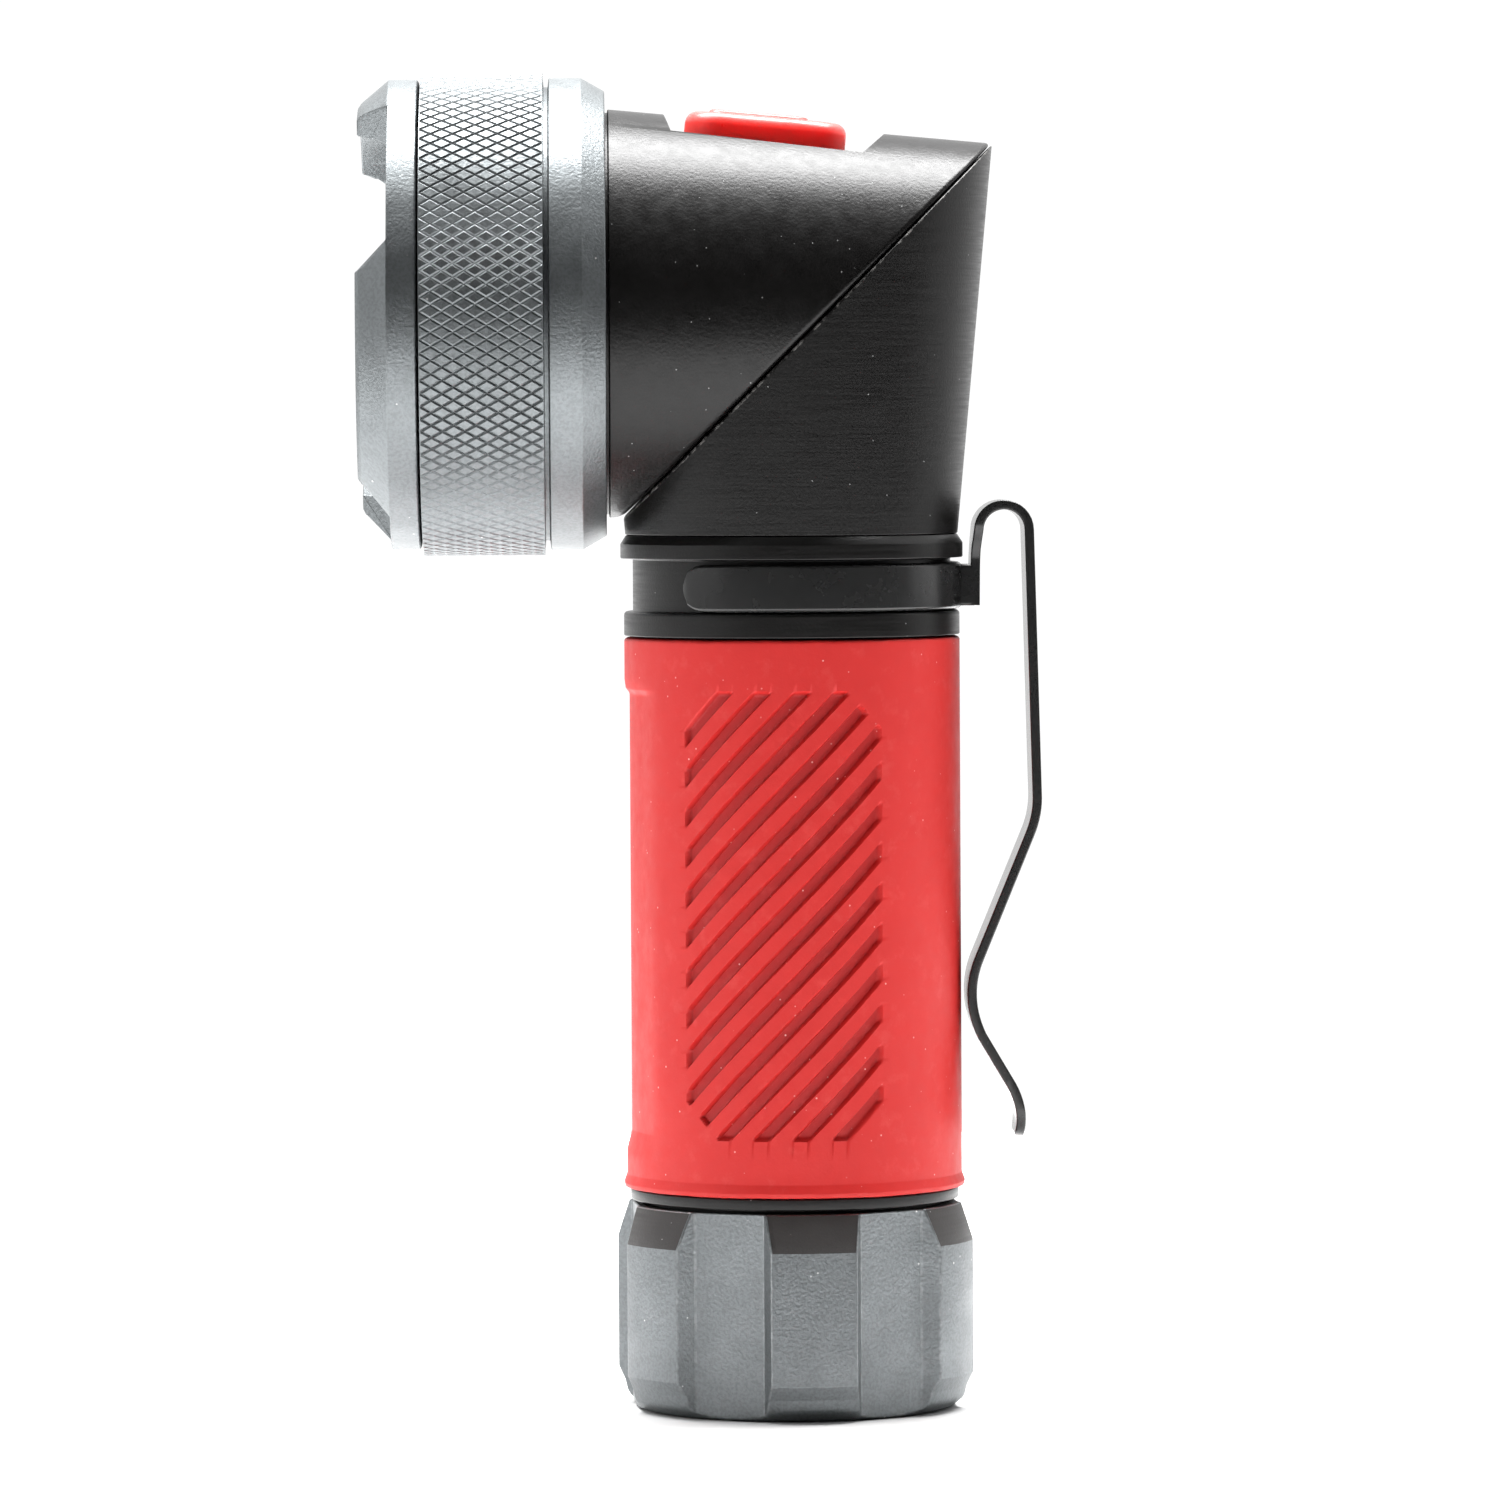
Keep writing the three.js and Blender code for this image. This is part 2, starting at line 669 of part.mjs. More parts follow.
function headHousing() {
  const outside = turned([
    [0, CONE_Z],
    [coneRadius(CONE_Z), CONE_Z],
    [coneRadius(HEAD_BACK_Z), HEAD_BACK_Z],
    [BARREL_R, HEAD_BACK_Z],
    [BARREL_R, BARREL_SEAL_Z - 0.6],
    [17.1, BARREL_SEAL_Z - 0.6],
    [17.1, BARREL_SEAL_Z + 0.6],
    [BARREL_R, BARREL_SEAL_Z + 0.6],
    [BARREL_R, BARREL_END_Z],
    [0, BARREL_END_Z],
  ]).intersect(slab(SEAM, 80));
  const ceiling = moved(block([-18, 12], [-20, 20], [CEILING, 5]), SEAT);
  const inside = cone(CONE_Z, 112.6, CONE_WALL).intersect(slab(BULKHEAD, 80)).subtract(ceiling);
  const bore = ring(0, BARREL_BORE_R, 112.2, BARREL_END_Z + 1, ROUND);
  const hole = {
    length: BUTTON.length + 2 * BUTTON_CLEARANCE,
    width: BUTTON.width + 2 * BUTTON_CLEARANCE,
    corner: BUTTON.corner + BUTTON_CLEARANCE,
  };
  const buttonHole = raised(roundedRectangle(hole, BUTTON_X), CEILING - 1, 2);
  const spindleHole = ring(0, SPINDLE_HOLE_R, -1, BULKHEAD + 1, SMALL_ROUND);
  const shape = outside
    .subtract(inside)
    .subtract(bore)
    .subtract(moved(notch(), SEAT))
    .subtract(moved(buttonHole, SEAT))
    .subtract(moved(spindleHole, SWIVEL))
    .subtract(moved(stopGroove(), SWIVEL));
  return part("head_housing", shape, blackMetal());
}

function switchBoot() {
  const stem = raised(roundedRectangle(BUTTON, BUTTON_X), CEILING - 0.5, BUTTON_TOP);
  const flange = raised(roundedRectangle(BUTTON_FLANGE, BUTTON_X), CEILING - 1.0, CEILING - 0.2);
  const icon = raised(
    roundedRectangle({ length: 8.7, width: 5.2, corner: 1.2 }, 1.4),
    BUTTON_TOP - 0.3,
    ICON_TOP,
  );
  return part("switch_boot", stem.add(flange).add(icon), redSilicone());
}

function switchPieces() {
  const collar = { length: 18.6, width: 12.0, corner: 2.6 };
  const collarRoom = { length: 17.2, width: 10.6, corner: 2.2 };
  const frame = raised(roundedRectangle(collar, BUTTON_X), -6.2, CEILING - 0.2)
    .add(block([-3.2, 8.4], [-5.2, 5.2], [-8.8, -5.6]))
    .subtract(raised(roundedRectangle(collarRoom, BUTTON_X), -5.4, 0))
    .subtract(block([-2.4, 7.6], [-4.4, 4.4], [-8.2, -5]));
  const board = block([-2.2, 7.4], [-4.2, 4.2], [-8.0, -7.2]);
  const tact = block([-0.4, 5.6], [-3, 3], [-7.1, -5.6]).add(
    shifted(ring(0, 1.6, -5.8, -5.2, 12), 2.6, 0, 0),
  );
  const group = new THREE.Group();
  group.applyMatrix4(SEAT);
  group.add(
    switchBoot(),
    part("switch_frame", frame, blackPlastic()),
    part("switch_board", board, circuitGreen()),
    part("tact_switch", tact, steel()),
  );
  return group;
}

function driverBoard() {
  return part("driver_board", ring(0, 15.0, 113.6, 115.0), circuitGreen());
}

function heatSink() {
  const shape = turned(
    [
      [0, 118.0],
      [12.8, 118.0],
      [12.8, 115.4],
      [15.3, 115.4],
      [15.3, 121.3],
      [0, 121.3],
    ],
  );
  return part("heat_sink", shape, steel());
}

function ledBoard() {
  return part("led_board", ring(0, 8.0, 121.5, 122.9, SMALL_ROUND), material(0xeeeeea, 0.5, 0.1));
}

function ledEmitter() {
  const base = block([-1.75, 1.75], [-1.75, 1.75], [123.1, 123.7]);
  const dome = turned([[0, 123.5], [1.5, 123.5], [1.4, 124.2], [0.8, 124.8], [0, 125.0]], 16);
  return part("led_emitter", base.add(dome), material(0xe8d24a, 0.3, 0));
}

function barrelSeal() {
  return part("barrel_o_ring", sealRing(17.6, 0.44, BARREL_SEAL_Z), blackRubber());
}

function focusSleeve() {
  const shape = turned([
    [SLEEVE_BORE_R, SLEEVE_Z],
    [SLEEVE_BACK_R, SLEEVE_Z],
    [BAND_R, BAND_Z[0]],
    [BAND_R, BAND_Z[1]],
    [20.7, BAND_Z[1] + 0.1],
    [20.7, KNURL_Z[0] - 0.1],
    [KNURL_R, KNURL_Z[0]],
    [KNURL_R, KNURL_Z[1]],
    [20.6, SLEEVE_END_Z],
    [LENS_SEAT_R, SLEEVE_END_Z],
    [LENS_SEAT_R, LENS_LIP_Z[1]],
    [LENS_LIP_R, LENS_LIP_Z[1]],
    [LENS_LIP_R, LENS_LIP_Z[0]],
    [SLEEVE_BORE_R, LENS_LIP_Z[0]],
  ]);
  return part("focus_sleeve", shape, greyMetal());
}

function lens() {
  const profile = [
    [0, LENS_Z],
    [LENS_R, LENS_Z],
    [LENS_R, LENS_Z + LENS_RIM],
  ];
  const sphere = (DOME_R ** 2 + DOME_HEIGHT ** 2) / (2 * DOME_HEIGHT);
  const steps = 4;
  const widest = Math.asin(DOME_R / sphere);
  for (let i = 0; i <= steps; i++) {
    const angle = widest * (1 - i / steps);
    const height = sphere * Math.cos(angle) - (sphere - DOME_HEIGHT);
    profile.push([i === steps ? 0 : sphere * Math.sin(angle), LENS_Z + LENS_RIM + height]);
  }
  const glass = material(0xf4f8fa, 0.05, 0);
  glass.transparent = true;
  glass.opacity = 0.35;
  return part("lens", turned(profile), glass);
}

function lensGasket() {
  return part("lens_gasket", ring(14.0, LENS_R, 127.6, 128.4), blackRubber());
}

// A gap in the bezel: a wedge about the axis whose width grows from the floor to the tip.
function crenelCutter() {
  const inner = 10;
  const outer = 26;
  const corners = [];
  for (const [z, half] of [
    [CRENEL_FLOOR_Z, CRENEL_FLOOR_HALF],
    [BEZEL_TIP_Z + 0.6, CRENEL_MOUTH_HALF + 1],
  ])
    for (const r of [inner, outer])
      for (const sign of [-1, 1])
        corners.push([r * Math.cos(radians(half)), sign * r * Math.sin(radians(half)), z]);
  const faces = [
    [0, 1, 3, 2],
    [4, 6, 7, 5],
    [0, 4, 5, 1],
    [2, 3, 7, 6],
    [0, 2, 6, 4],
    [1, 5, 7, 3],
  ];
  const position = faces.flatMap(([a, b, c, d]) => [a, b, c, a, c, d].flatMap((i) => corners[i]));
  const geometry = new THREE.BufferGeometry();
  geometry.setAttribute("position", new THREE.Float32BufferAttribute(position, 3));
  return solid(geometry);
}

function strikeBezel() {
  let shape = turned([
    [BEZEL_BORE_R, BEZEL_SKIRT_Z],
    [16.6, BEZEL_SKIRT_Z],
    [16.6, BEZEL_Z],
    [20.6, BEZEL_Z],
    [BEZEL_BAND_R, BEZEL_Z + 0.3],
    [BEZEL_BAND_R, CRENEL_FLOOR_Z],
    [18.9, 135.8],
    [BEZEL_TIP_R, BEZEL_TIP_Z],
    [BEZEL_STEP_R, BEZEL_TIP_Z],
    [BEZEL_STEP_R, BEZEL_STEP_Z],
    [BEZEL_BORE_R, BEZEL_STEP_Z],
  ]);
  for (let i = 0; i < CRENELS; i++) {
    const middle = 90 - CRENEL_TURN - (360 / CRENELS) * i;
    shape = shape.subtract(turnedBy(crenelCutter(), middle));
  }
  return part("strike_bezel", shape, greyMetal());
}

// ---------------------------------------------------------------- wires

function lead(name, points, color) {
  const curve = new THREE.CatmullRomCurve3(points.map((p) => new THREE.Vector3(...p)));
  return part(name, wire(curve, 0.6, 8), material(color, 0.6, 0));
}

// Each lead is in two lengths that meet on the swivel's axis, inside the hollow spindle.
function handleLeads() {
  const across = 1.4;
  const meet = (y) => new THREE.Vector3(0, y, -0.2).applyMatrix4(SWIVEL).toArray();
  const below = (y) => new THREE.Vector3(0, y, -9).applyMatrix4(SWIVEL).toArray();
  return [1, -1].map((sign) => {
    const name = sign > 0 ? "handle_lead_positive" : "handle_lead_negative";
    const y = sign * across;
    const start = [2.5, sign * 3, 73.3];
    return lead(name, [start, [3.2, sign * 2.6, 77], below(y), meet(y)], sign > 0 ? 0xb02020 : 0x111111);
  });
}

function headLeads() {
  const across = 1.4;
  const meet = (y) => new THREE.Vector3(0, y, 0.2).applyMatrix4(SWIVEL).toArray();
  const above = (y) => new THREE.Vector3(0, y, 8).applyMatrix4(SWIVEL).toArray();
  return [1, -1].map((sign) => {
    const name = sign > 0 ? "head_lead_positive" : "head_lead_negative";
    const y = sign * across;
    const end = [1.5, sign * 3, 113.3];
    return lead(name, [meet(y), above(y), [-1, sign * 2.6, 108], end], sign > 0 ? 0xb02020 : 0x111111);
  });
}

// ---------------------------------------------------------------- assembly

function handle() {
  const group = new THREE.Group();
  group.add(batteryTube(), tailSeal(), gripSleeve(), pocketClip(), elbowHousing());
  group.add(batteryCarrier(), ...carrierContacts(), contactBoard(), contactSpring());
  for (let i = 0; i < 3; i++) group.add(cell(i), cellSpring(i));
  group.add(...handleLeads());
  return group;
}

// The head is modelled straight and turned half round about the swivel's axis, which brings it to
// a right angle with the handle.
function head() {
  const straight = new THREE.Group();
  straight.add(headHousing(), switchPieces(), driverBoard(), heatSink(), ledBoard());
  straight.add(ledEmitter(), barrelSeal(), focusSleeve(), lens(), lensGasket(), strikeBezel());
  straight.add(...headLeads());
  straight.position.copy(JOINT).negate();
  const turnedHead = new THREE.Group();
  const axis = new THREE.Vector3(-1, 0, 1).normalize();
  turnedHead.quaternion.setFromAxisAngle(axis, Math.PI);
  turnedHead.position.copy(JOINT);
  turnedHead.add(straight);
  return turnedHead;
}

const flashlight = new THREE.Group();
flashlight.add(tailCap(), tailSpring(), tailContactPlate());
flashlight.add(handle(), swivelPieces(), head());

export default flashlight;
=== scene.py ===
"""An angle-head tactical flashlight standing on its tail cap: the finished surfaces, materials, floor,
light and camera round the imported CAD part. Sizes are in millimetres in the CAD's frame, and MM turns
them into metres. The head's pieces are made as they lie with the head straight, about Z, and HEAD
turns them to the right angle that they have at rest."""

import math

import bmesh
import bpy
from mathutils import Matrix, Vector

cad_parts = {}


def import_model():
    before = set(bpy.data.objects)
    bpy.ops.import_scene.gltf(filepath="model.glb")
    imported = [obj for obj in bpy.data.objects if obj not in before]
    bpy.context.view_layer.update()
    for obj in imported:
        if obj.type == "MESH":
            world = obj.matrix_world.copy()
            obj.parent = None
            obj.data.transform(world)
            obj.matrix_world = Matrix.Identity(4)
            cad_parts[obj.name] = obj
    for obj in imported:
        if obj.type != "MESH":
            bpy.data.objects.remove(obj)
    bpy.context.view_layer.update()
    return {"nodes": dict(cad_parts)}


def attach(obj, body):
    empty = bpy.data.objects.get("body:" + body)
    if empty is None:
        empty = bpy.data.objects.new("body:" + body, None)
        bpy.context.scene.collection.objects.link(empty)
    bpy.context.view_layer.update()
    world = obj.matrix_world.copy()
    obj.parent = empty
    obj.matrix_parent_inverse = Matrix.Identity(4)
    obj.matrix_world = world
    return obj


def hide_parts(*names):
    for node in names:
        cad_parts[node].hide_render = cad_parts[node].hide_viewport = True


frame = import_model()

MM = 0.001
SIDES = 160  # round a large turned shape
SMALL_SIDES = 64  # round a small one

# ---------------------------------------------------------------- sizes

CAP_SHOULDER = 15.0  # height where the cap's black conical edge starts
CAP_TOP = 18.3
LOBES = 6
LOBE_TURN = 4.8  # degrees from -Y towards +X
FLUTE_FLOOR = 14.35
FLUTE_WIDTH = 6.7

THREAD_R = 13.1  # its middle radius
THREAD_LOW = 8.0
THREAD_PITCH = 1.5
THREAD_TURNS = 4
THREAD_STEPS = 10  # mesh rows in one turn

GRIP_R = 15.0
GRIP_BORE = 13.35
GRIP_Z = (19.75, 68.92)
GRIP_STRAIGHT = (22.3, 68.2)  # between its two shaped edges
PLAIN_COLUMNS = 34  # mesh columns between the two hatched panels
HATCH_PITCH = 3.55  # up the grip
HATCH_STEPS = 24  # mesh rows in one pitch
HATCH_TURN = -5.2  # degrees from -Y towards +X
HATCH_HALF = 35.4  # degrees
HATCH_LOW = 24.735
HATCH_SHIFT = 7  # rows that the pattern is moved by
HATCH_ROWS = 268
HATCH_CHAMFER = 3.4
HATCH_DEPTH = 0.55
RECESS_Z = (24.3, 64.2)
RECESS_DEPTH = 0.45
RECESS_HALF = 36.9  # degrees each side of -X
RECESS_EASE = (16, 0.9)  # its soft edge, in degrees at the sides and in height at the ends

CLIP_SHEET = 0.8
CLIP_RING_R = 14.4
CLIP_RING_Z = (71.3, 75.5)
CLIP_RING_HALF = 130.6  # degrees each side of +X
CLIP_WIDTH = 8.0
CLIP_LOOP_R = 2.25
CLIP_NECK = 5.2  # width where the arm leaves the tab

CONE_Z = 78.15  # where its radius is CONE_R
CONE_R = 14.86
CONE_SLOPE = 0.0932  # radius gained with height
CONE_WALL = 1.8
ELBOW_FOOT = 78.03
JOINT = Vector((1.55, 0, 96.2))  # where the swivel's axis meets its cut
SEAM = 0.06  # half the gap at the cut
BULKHEAD = 3.2  # how far the solid wall reaches from the cut
SPINDLE_BORE = 5.1

HEAD_BACK = 114.0
BARREL_R = 17.9
BARREL_BORE = 15.6
BARREL_END = 123.4
SEAL_Z = 121.9
KNURL_R = 21.5
KNURL_Z = (119.75, 130.5)
KNURL_AROUND = 112
KNURL_ALONG = 11  # half diamonds
KNURL_DEPTH = 0.11
KNURL_TOP = 0.7  # flat share of a diamond
LENS_Z = 125.3

CRENEL_FLOOR = 133.4
BEZEL_TIP = 136.15
CRENELS = 3
CRENEL_TURN = -39.3  # degrees, as are the next two
CRENEL_FLOOR_HALF = 21.7
CRENEL_MOUTH_HALF = 28.0

SEAT_Z = 99.15
NOTCH_HALF = 9.9
NOTCH_FLOOR = (9.15, 7.95)  # the floor's reach towards each end
NOTCH_DEPTH = (1.6, 2.05)  # at the lens end and at the swivel end
CEILING = -3.0  # where the head's hollow stops, below the seat
BUTTON_X = 0.7


def cone_radius(z):
    return CONE_R + CONE_SLOPE * (z - CONE_Z)


def moved(x, y, z):
    return Matrix.Translation((x * MM, y * MM, z * MM))


# The swivel's own frame: x up the cut, y across, z into the head. The seat's frame: x towards the
# lens, y across, z out of the cone opposite the clip, head straight.
SWIVEL = moved(*JOINT) @ Matrix.Rotation(math.radians(-45), 4, "Y")
SEAT = moved(-cone_radius(SEAT_Z), 0, SEAT_Z) @ Matrix.Rotation(
    -math.pi / 2 - math.atan(CONE_SLOPE), 4, "Y"
)
SWIVEL_AXIS = Vector((-1, 0, 1)).normalized()
HEAD = moved(*JOINT) @ Matrix.Rotation(math.pi, 4, SWIVEL_AXIS) @ moved(*(-JOINT))

# ---------------------------------------------------------------- mesh helpers


def mesh_object(name, points, faces):
    """A mesh from points in millimetres, its faces turned outwards."""
    mesh = bpy.data.meshes.new(name)
    for _ in range(2):  # the surface and its rounded edges
        mesh.materials.append(None)
    mesh.from_pydata([(x * MM, y * MM, z * MM) for x, y, z in points], [], faces)
    shape = bmesh.new()
    shape.from_mesh(mesh)
    bmesh.ops.recalc_face_normals(shape, faces=shape.faces)
    shape.to_mesh(mesh)
    shape.free()
    obj = bpy.data.objects.new(name, mesh)
    bpy.context.scene.collection.objects.link(obj)
    return obj


def rounded(profile, radius=0.15):
    """A closed [r, z] outline with its corners rounded. A point's own third number is its radius."""
    out = []
    for i, point in enumerate(profile):
        here = Vector(point[:2])
        size = point[2] if len(point) > 2 else radius
        to_last = Vector(profile[i - 1][:2]) - here
        to_next = Vector(profile[(i + 1) % len(profile)][:2]) - here
        half = to_last.angle(to_next) / 2
        if here.x < 1e-6 or size <= 0 or half > math.radians(87):
            out.append(tuple(here))
            continue
        setback = min(size / math.tan(half), 0.45 * to_last.length, 0.45 * to_next.length)
        size = setback * math.tan(half)
        to_last.normalize()
        to_next.normalize()
        centre = here + (to_last + to_next).normalized() * size / math.sin(half)
        start = here + to_last * setback - centre
        end = here + to_next * setback - centre
        steps = max(2, math.ceil((math.pi - 2 * half) / math.radians(22)))
        turn = start.angle_signed(end)
        for k in range(steps + 1):
            arm = start.copy()
            arm.rotate(Matrix.Rotation(-turn * k / steps, 2))
            out.append(tuple(centre + arm))
    return out


def turned(name, profile, sides=SIDES, bump=None):
    """A shape turned about Z from [r, z] points. Its outline closes on itself or along the axis.
    bump(angle, r, z) adds to the radius."""
    points, rows = [], []
    for r, z in profile:
        if r < 1e-6:
            rows.append([len(points)] * sides)
            points.append((0, 0, z))
            continue
        rows.append(list(range(len(points), len(points) + sides)))
        for k in range(sides):
            a = 2 * math.pi * k / sides
            reach = r + (bump(a, r, z) if bump else 0)
            points.append((reach * math.cos(a), reach * math.sin(a), z))
    faces = []
    for i, row in enumerate(rows):
        after = rows[(i + 1) % len(rows)]
        if row[0] == row[1] and after[0] == after[1]:
            continue
        for k in range(sides):
            n = (k + 1) % sides
            quad = [row[k], row[n], after[n], after[k]]
            faces.append(list(dict.fromkeys(quad)))
    return mesh_object(name, points, faces)


def ring(name, inner, outer, low, high, radius=0.0, sides=SIDES):
    outline = [(inner, low), (outer, low), (outer, high), (inner, high)]
    return turned(name, rounded(outline, radius), sides)


def seal(name, radius, thickness, z):
    steps = 16
    turns = [2 * math.pi * k / steps for k in range(steps)]
    outline = [(radius + thickness * math.cos(a), z + thickness * math.sin(a)) for a in turns]
    return turned(name, outline)


def prism(name, outline, low, high):
    """A flat outline in x and y raised from one height to another."""
    count = len(outline)
    points = [(x, y, low) for x, y in outline] + [(x, y, high) for x, y in outline]
    faces = [list(range(count))[::-1], list(range(count, 2 * count))]
    for k in range(count):
        n = (k + 1) % count
        faces.append([k, n, n + count, k + count])
    return mesh_object(name, points, faces)


def box(name, x, y, z):
    outline = [(x[0], y[0]), (x[1], y[0]), (x[1], y[1]), (x[0], y[1])]
    return prism(name, outline, *z)


def loops(name, rings):
    """A skin over rings of points, each with the same count, closed by a face at both ends."""
    count = len(rings[0])
    points = [p for r in rings for p in r]
    faces = []
    for i in range(len(rings) - 1):
        for k in range(count):
            n = (k + 1) % count
            a, b = i * count, (i + 1) * count
            faces.append([a + k, a + n, b + n, b + k])
    faces.append(list(range(count))[::-1])
    faces.append(list(range((len(rings) - 1) * count, len(rings) * count)))
    return mesh_object(name, points, faces)


def rounded_rectangle(length, width, corner, x=0, steps=6):
    out = []
    for quarter, (sx, sy) in enumerate([(1, 1), (-1, 1), (-1, -1), (1, -1)]):
        for k in range(steps + 1):
            a = math.pi / 2 * (quarter + k / steps)
            out.append(
                (
                    x + sx * (length / 2 - corner) + corner * math.cos(a),
                    sy * (width / 2 - corner) + corner * math.sin(a),
                )
            )
    return out


def placed(obj, matrix):
    """Moves a mesh's own points."""
    obj.data.transform(matrix)
    return obj


def bake(obj):
    """Makes the result of an object's modifiers its mesh."""
    bpy.context.view_layer.update()
    made = bpy.data.meshes.new_from_object(
        obj.evaluated_get(bpy.context.evaluated_depsgraph_get())
    )
    obj.modifiers.clear()
    old, obj.data = obj.data, made
    bpy.data.meshes.remove(old)
    return obj


def combine(obj, others, operation="DIFFERENCE", merge=0.002):
    """Cuts the others out of obj, or joins them to it, and removes them. Points closer than merge
    become one, because slivers along a cut would hold back the rounding of its edges."""
    for other in others:
        step = obj.modifiers.new("step", "BOOLEAN")
        step.object, step.operation, step.solver = other, operation, "EXACT"
    bake(obj)
    for other in others:
        bpy.data.objects.remove(other)
    shape = bmesh.new()
    shape.from_mesh(obj.data)
    bmesh.ops.remove_doubles(shape, verts=shape.verts, dist=merge * MM)
    bmesh.ops.dissolve_degenerate(shape, edges=shape.edges, dist=1e-6)
    shape.to_mesh(obj.data)
    shape.free()
    return obj


def soften(obj, width, segments=2, angle=28, clamp=True):
    """Rounds the edges that turn by more than the angle. Clamped, the shortest edge anywhere on the
    mesh limits every rounding."""
    edge = obj.modifiers.new("edge", "BEVEL")
    edge.width, edge.segments = width * MM, segments
    edge.limit_method, edge.angle_limit = "ANGLE", math.radians(angle)
    edge.miter_outer = "MITER_ARC"
    edge.material = 1
    edge.use_clamp_overlap = clamp
    return bake(obj)


def ease_cut(obj, width, segments=5):
    """Rounds the edge where the swivel's cut meets the outside."""
    into = SWIVEL.inverted()
    on_cut = [abs((into @ v.co).z / MM - SEAM) < 0.005 for v in obj.data.vertices]
    weights = obj.data.attributes.new("bevel_weight_edge", "FLOAT", "EDGE")
    chosen = [float(on_cut[e.vertices[0]] and on_cut[e.vertices[1]]) for e in obj.data.edges]
    weights.data.foreach_set("value", chosen)
    edge = obj.modifiers.new("cut", "BEVEL")
    edge.width, edge.segments, edge.limit_method = width * MM, segments, "WEIGHT"
    bake(obj)
    obj.data.attributes.remove(obj.data.attributes["bevel_weight_edge"])
    return obj


def smooth(obj, angle=38):
    obj.data.shade_smooth()
    obj.data.set_sharp_from_angle(angle=math.radians(angle))
    normals = obj.modifiers.new("normals", "WEIGHTED_NORMAL")
    normals.keep_sharp = True
    return bake(obj)


# ---------------------------------------------------------------- material helpers


class Look:
    """A material made of nodes. Distances are in millimetres in the piece's own frame."""

    def __init__(self, name, roughness=0.5, metallic=0.0, **sockets):
        self.material = bpy.data.materials.new(name)
        self.material.use_nodes = True
        self.tree = self.material.node_tree
        self.shader = self.tree.nodes["Principled BSDF"]
        self.place = self.tree.nodes.new("ShaderNodeTexCoord").outputs["Object"]
        self.shader.inputs["Roughness"].default_value = roughness
        self.shader.inputs["Metallic"].default_value = metallic
        for socket, value in sockets.items():
            self.shader.inputs[socket.replace("_", " ")].default_value = value

    def node(self, kind, inputs=(), **settings):
        made = self.tree.nodes.new("ShaderNode" + kind)
        for key, value in settings.items():
            setattr(made, key, value)
        for key, value in dict(inputs).items():
            self.feed(made.inputs[key], value)
        return made

    def feed(self, socket, value):
        if isinstance(value, bpy.types.NodeSocket):
            self.tree.links.new(value, socket)
        else:
            socket.default_value = value

    def stretched(self, x, y, z):
        """The place, scaled along each axis, for grain that runs one way."""
        return self.node("Mapping", {"Vector": self.place, "Scale": (x, y, z)}).outputs["Vector"]

    def noise(self, size, detail=3.0, roughness=0.55, place=None):
        inputs = {
            "Vector": place or self.place,
            "Scale": 1 / (size * MM),
            "Detail": detail,
            "Roughness": roughness,
        }
        return self.node("TexNoise", inputs).outputs["Fac"]

    def specks(self, spacing, reach):
        """1 on small dots, one in each cell of the spacing, that reach so far from the cell's middle."""
        cells = self.node(
            "TexVoronoi", {"Vector": self.place, "Scale": 1 / (spacing * MM)}
        ).outputs["Distance"]
        return self.steps(cells, (reach * 0.6, 1), (reach, 0))

    def steps(self, value, *stops):
        """Maps a value through (position, brightness) stops."""
        ramp = self.node("ValToRGB", {"Fac": value})
        elements = ramp.color_ramp.elements
        while len(elements) < len(stops):
            elements.new(0.5)
        for element, (position, level) in zip(elements, stops):
            element.position = position
            element.color = (level, level, level, 1)
        return ramp.outputs["Color"]

    def math(self, operation, a, b):
        return self.node("Math", {0: a, 1: b}, operation=operation).outputs["Value"]

    def mix(self, share, a, b):
        made = self.node("Mix", data_type="RGBA")
        for socket, value in zip((0, 6, 7), (share, a, b)):
            self.feed(made.inputs[socket], value)
        return made.outputs[2]

    def bump(self, *layers):
        """Layers of (height, depth in millimetres), each laid over the last."""
        normal = None
        for height, depth in layers:
            inputs = {"Height": height, "Distance": depth * MM, "Strength": 1.0}
            if normal:
                inputs["Normal"] = normal
            normal = self.node("Bump", inputs).outputs["Normal"]
        self.feed(self.shader.inputs["Normal"], normal)

    def chipped(self, colour, share, bare):
        """Bare metal showing through a colour in small chips."""
        chips = self.steps(self.noise(0.7, 2), (0.46, 0), (0.6, 1))
        return self.mix(self.math("MULTIPLY", chips, share), colour, bare)

    def set(self, **values):
        for socket, value in values.items():
            self.feed(self.shader.inputs[socket.replace("_", " ")], value)


def grey(level, tint=(0.93, 1.0, 1.03)):
    return tuple(level * t for t in tint) + (1,)


def neutral(level):
    return (level, level, level, 1)


def blasted_metal(name, dark, light, roughness, grain, wear=0.0):
    """Bead-blasted and anodised aluminium."""
    look = Look(name)
    patches = look.noise(9, 3)
    fine = look.noise(grain, 1, 0.5)
    colour = look.mix(look.steps(patches, (0.3, 0), (0.7, 1)), dark, light)
    colour = look.mix(
        look.math("MULTIPLY", look.steps(fine, (0.35, 1), (0.6, 0)), 0.15), colour, (0, 0, 0, 1)
    )
    if wear:
        colour = look.chipped(colour, wear, (0.66, 0.67, 0.67, 1))
    dust = look.math("MULTIPLY", look.specks(2.6, 0.045), 0.8)
    colour = look.mix(dust, colour, (0.75, 0.75, 0.74, 1))
    rough = look.steps(look.noise(3.5, 3), (0.3, roughness - 0.05), (0.7, roughness + 0.06))
    look.set(Base_Color=colour, Roughness=rough, Metallic=look.steps(dust, (0, 0.9), (1, 0)))
    look.bump((fine, 0.03))
    return look.material


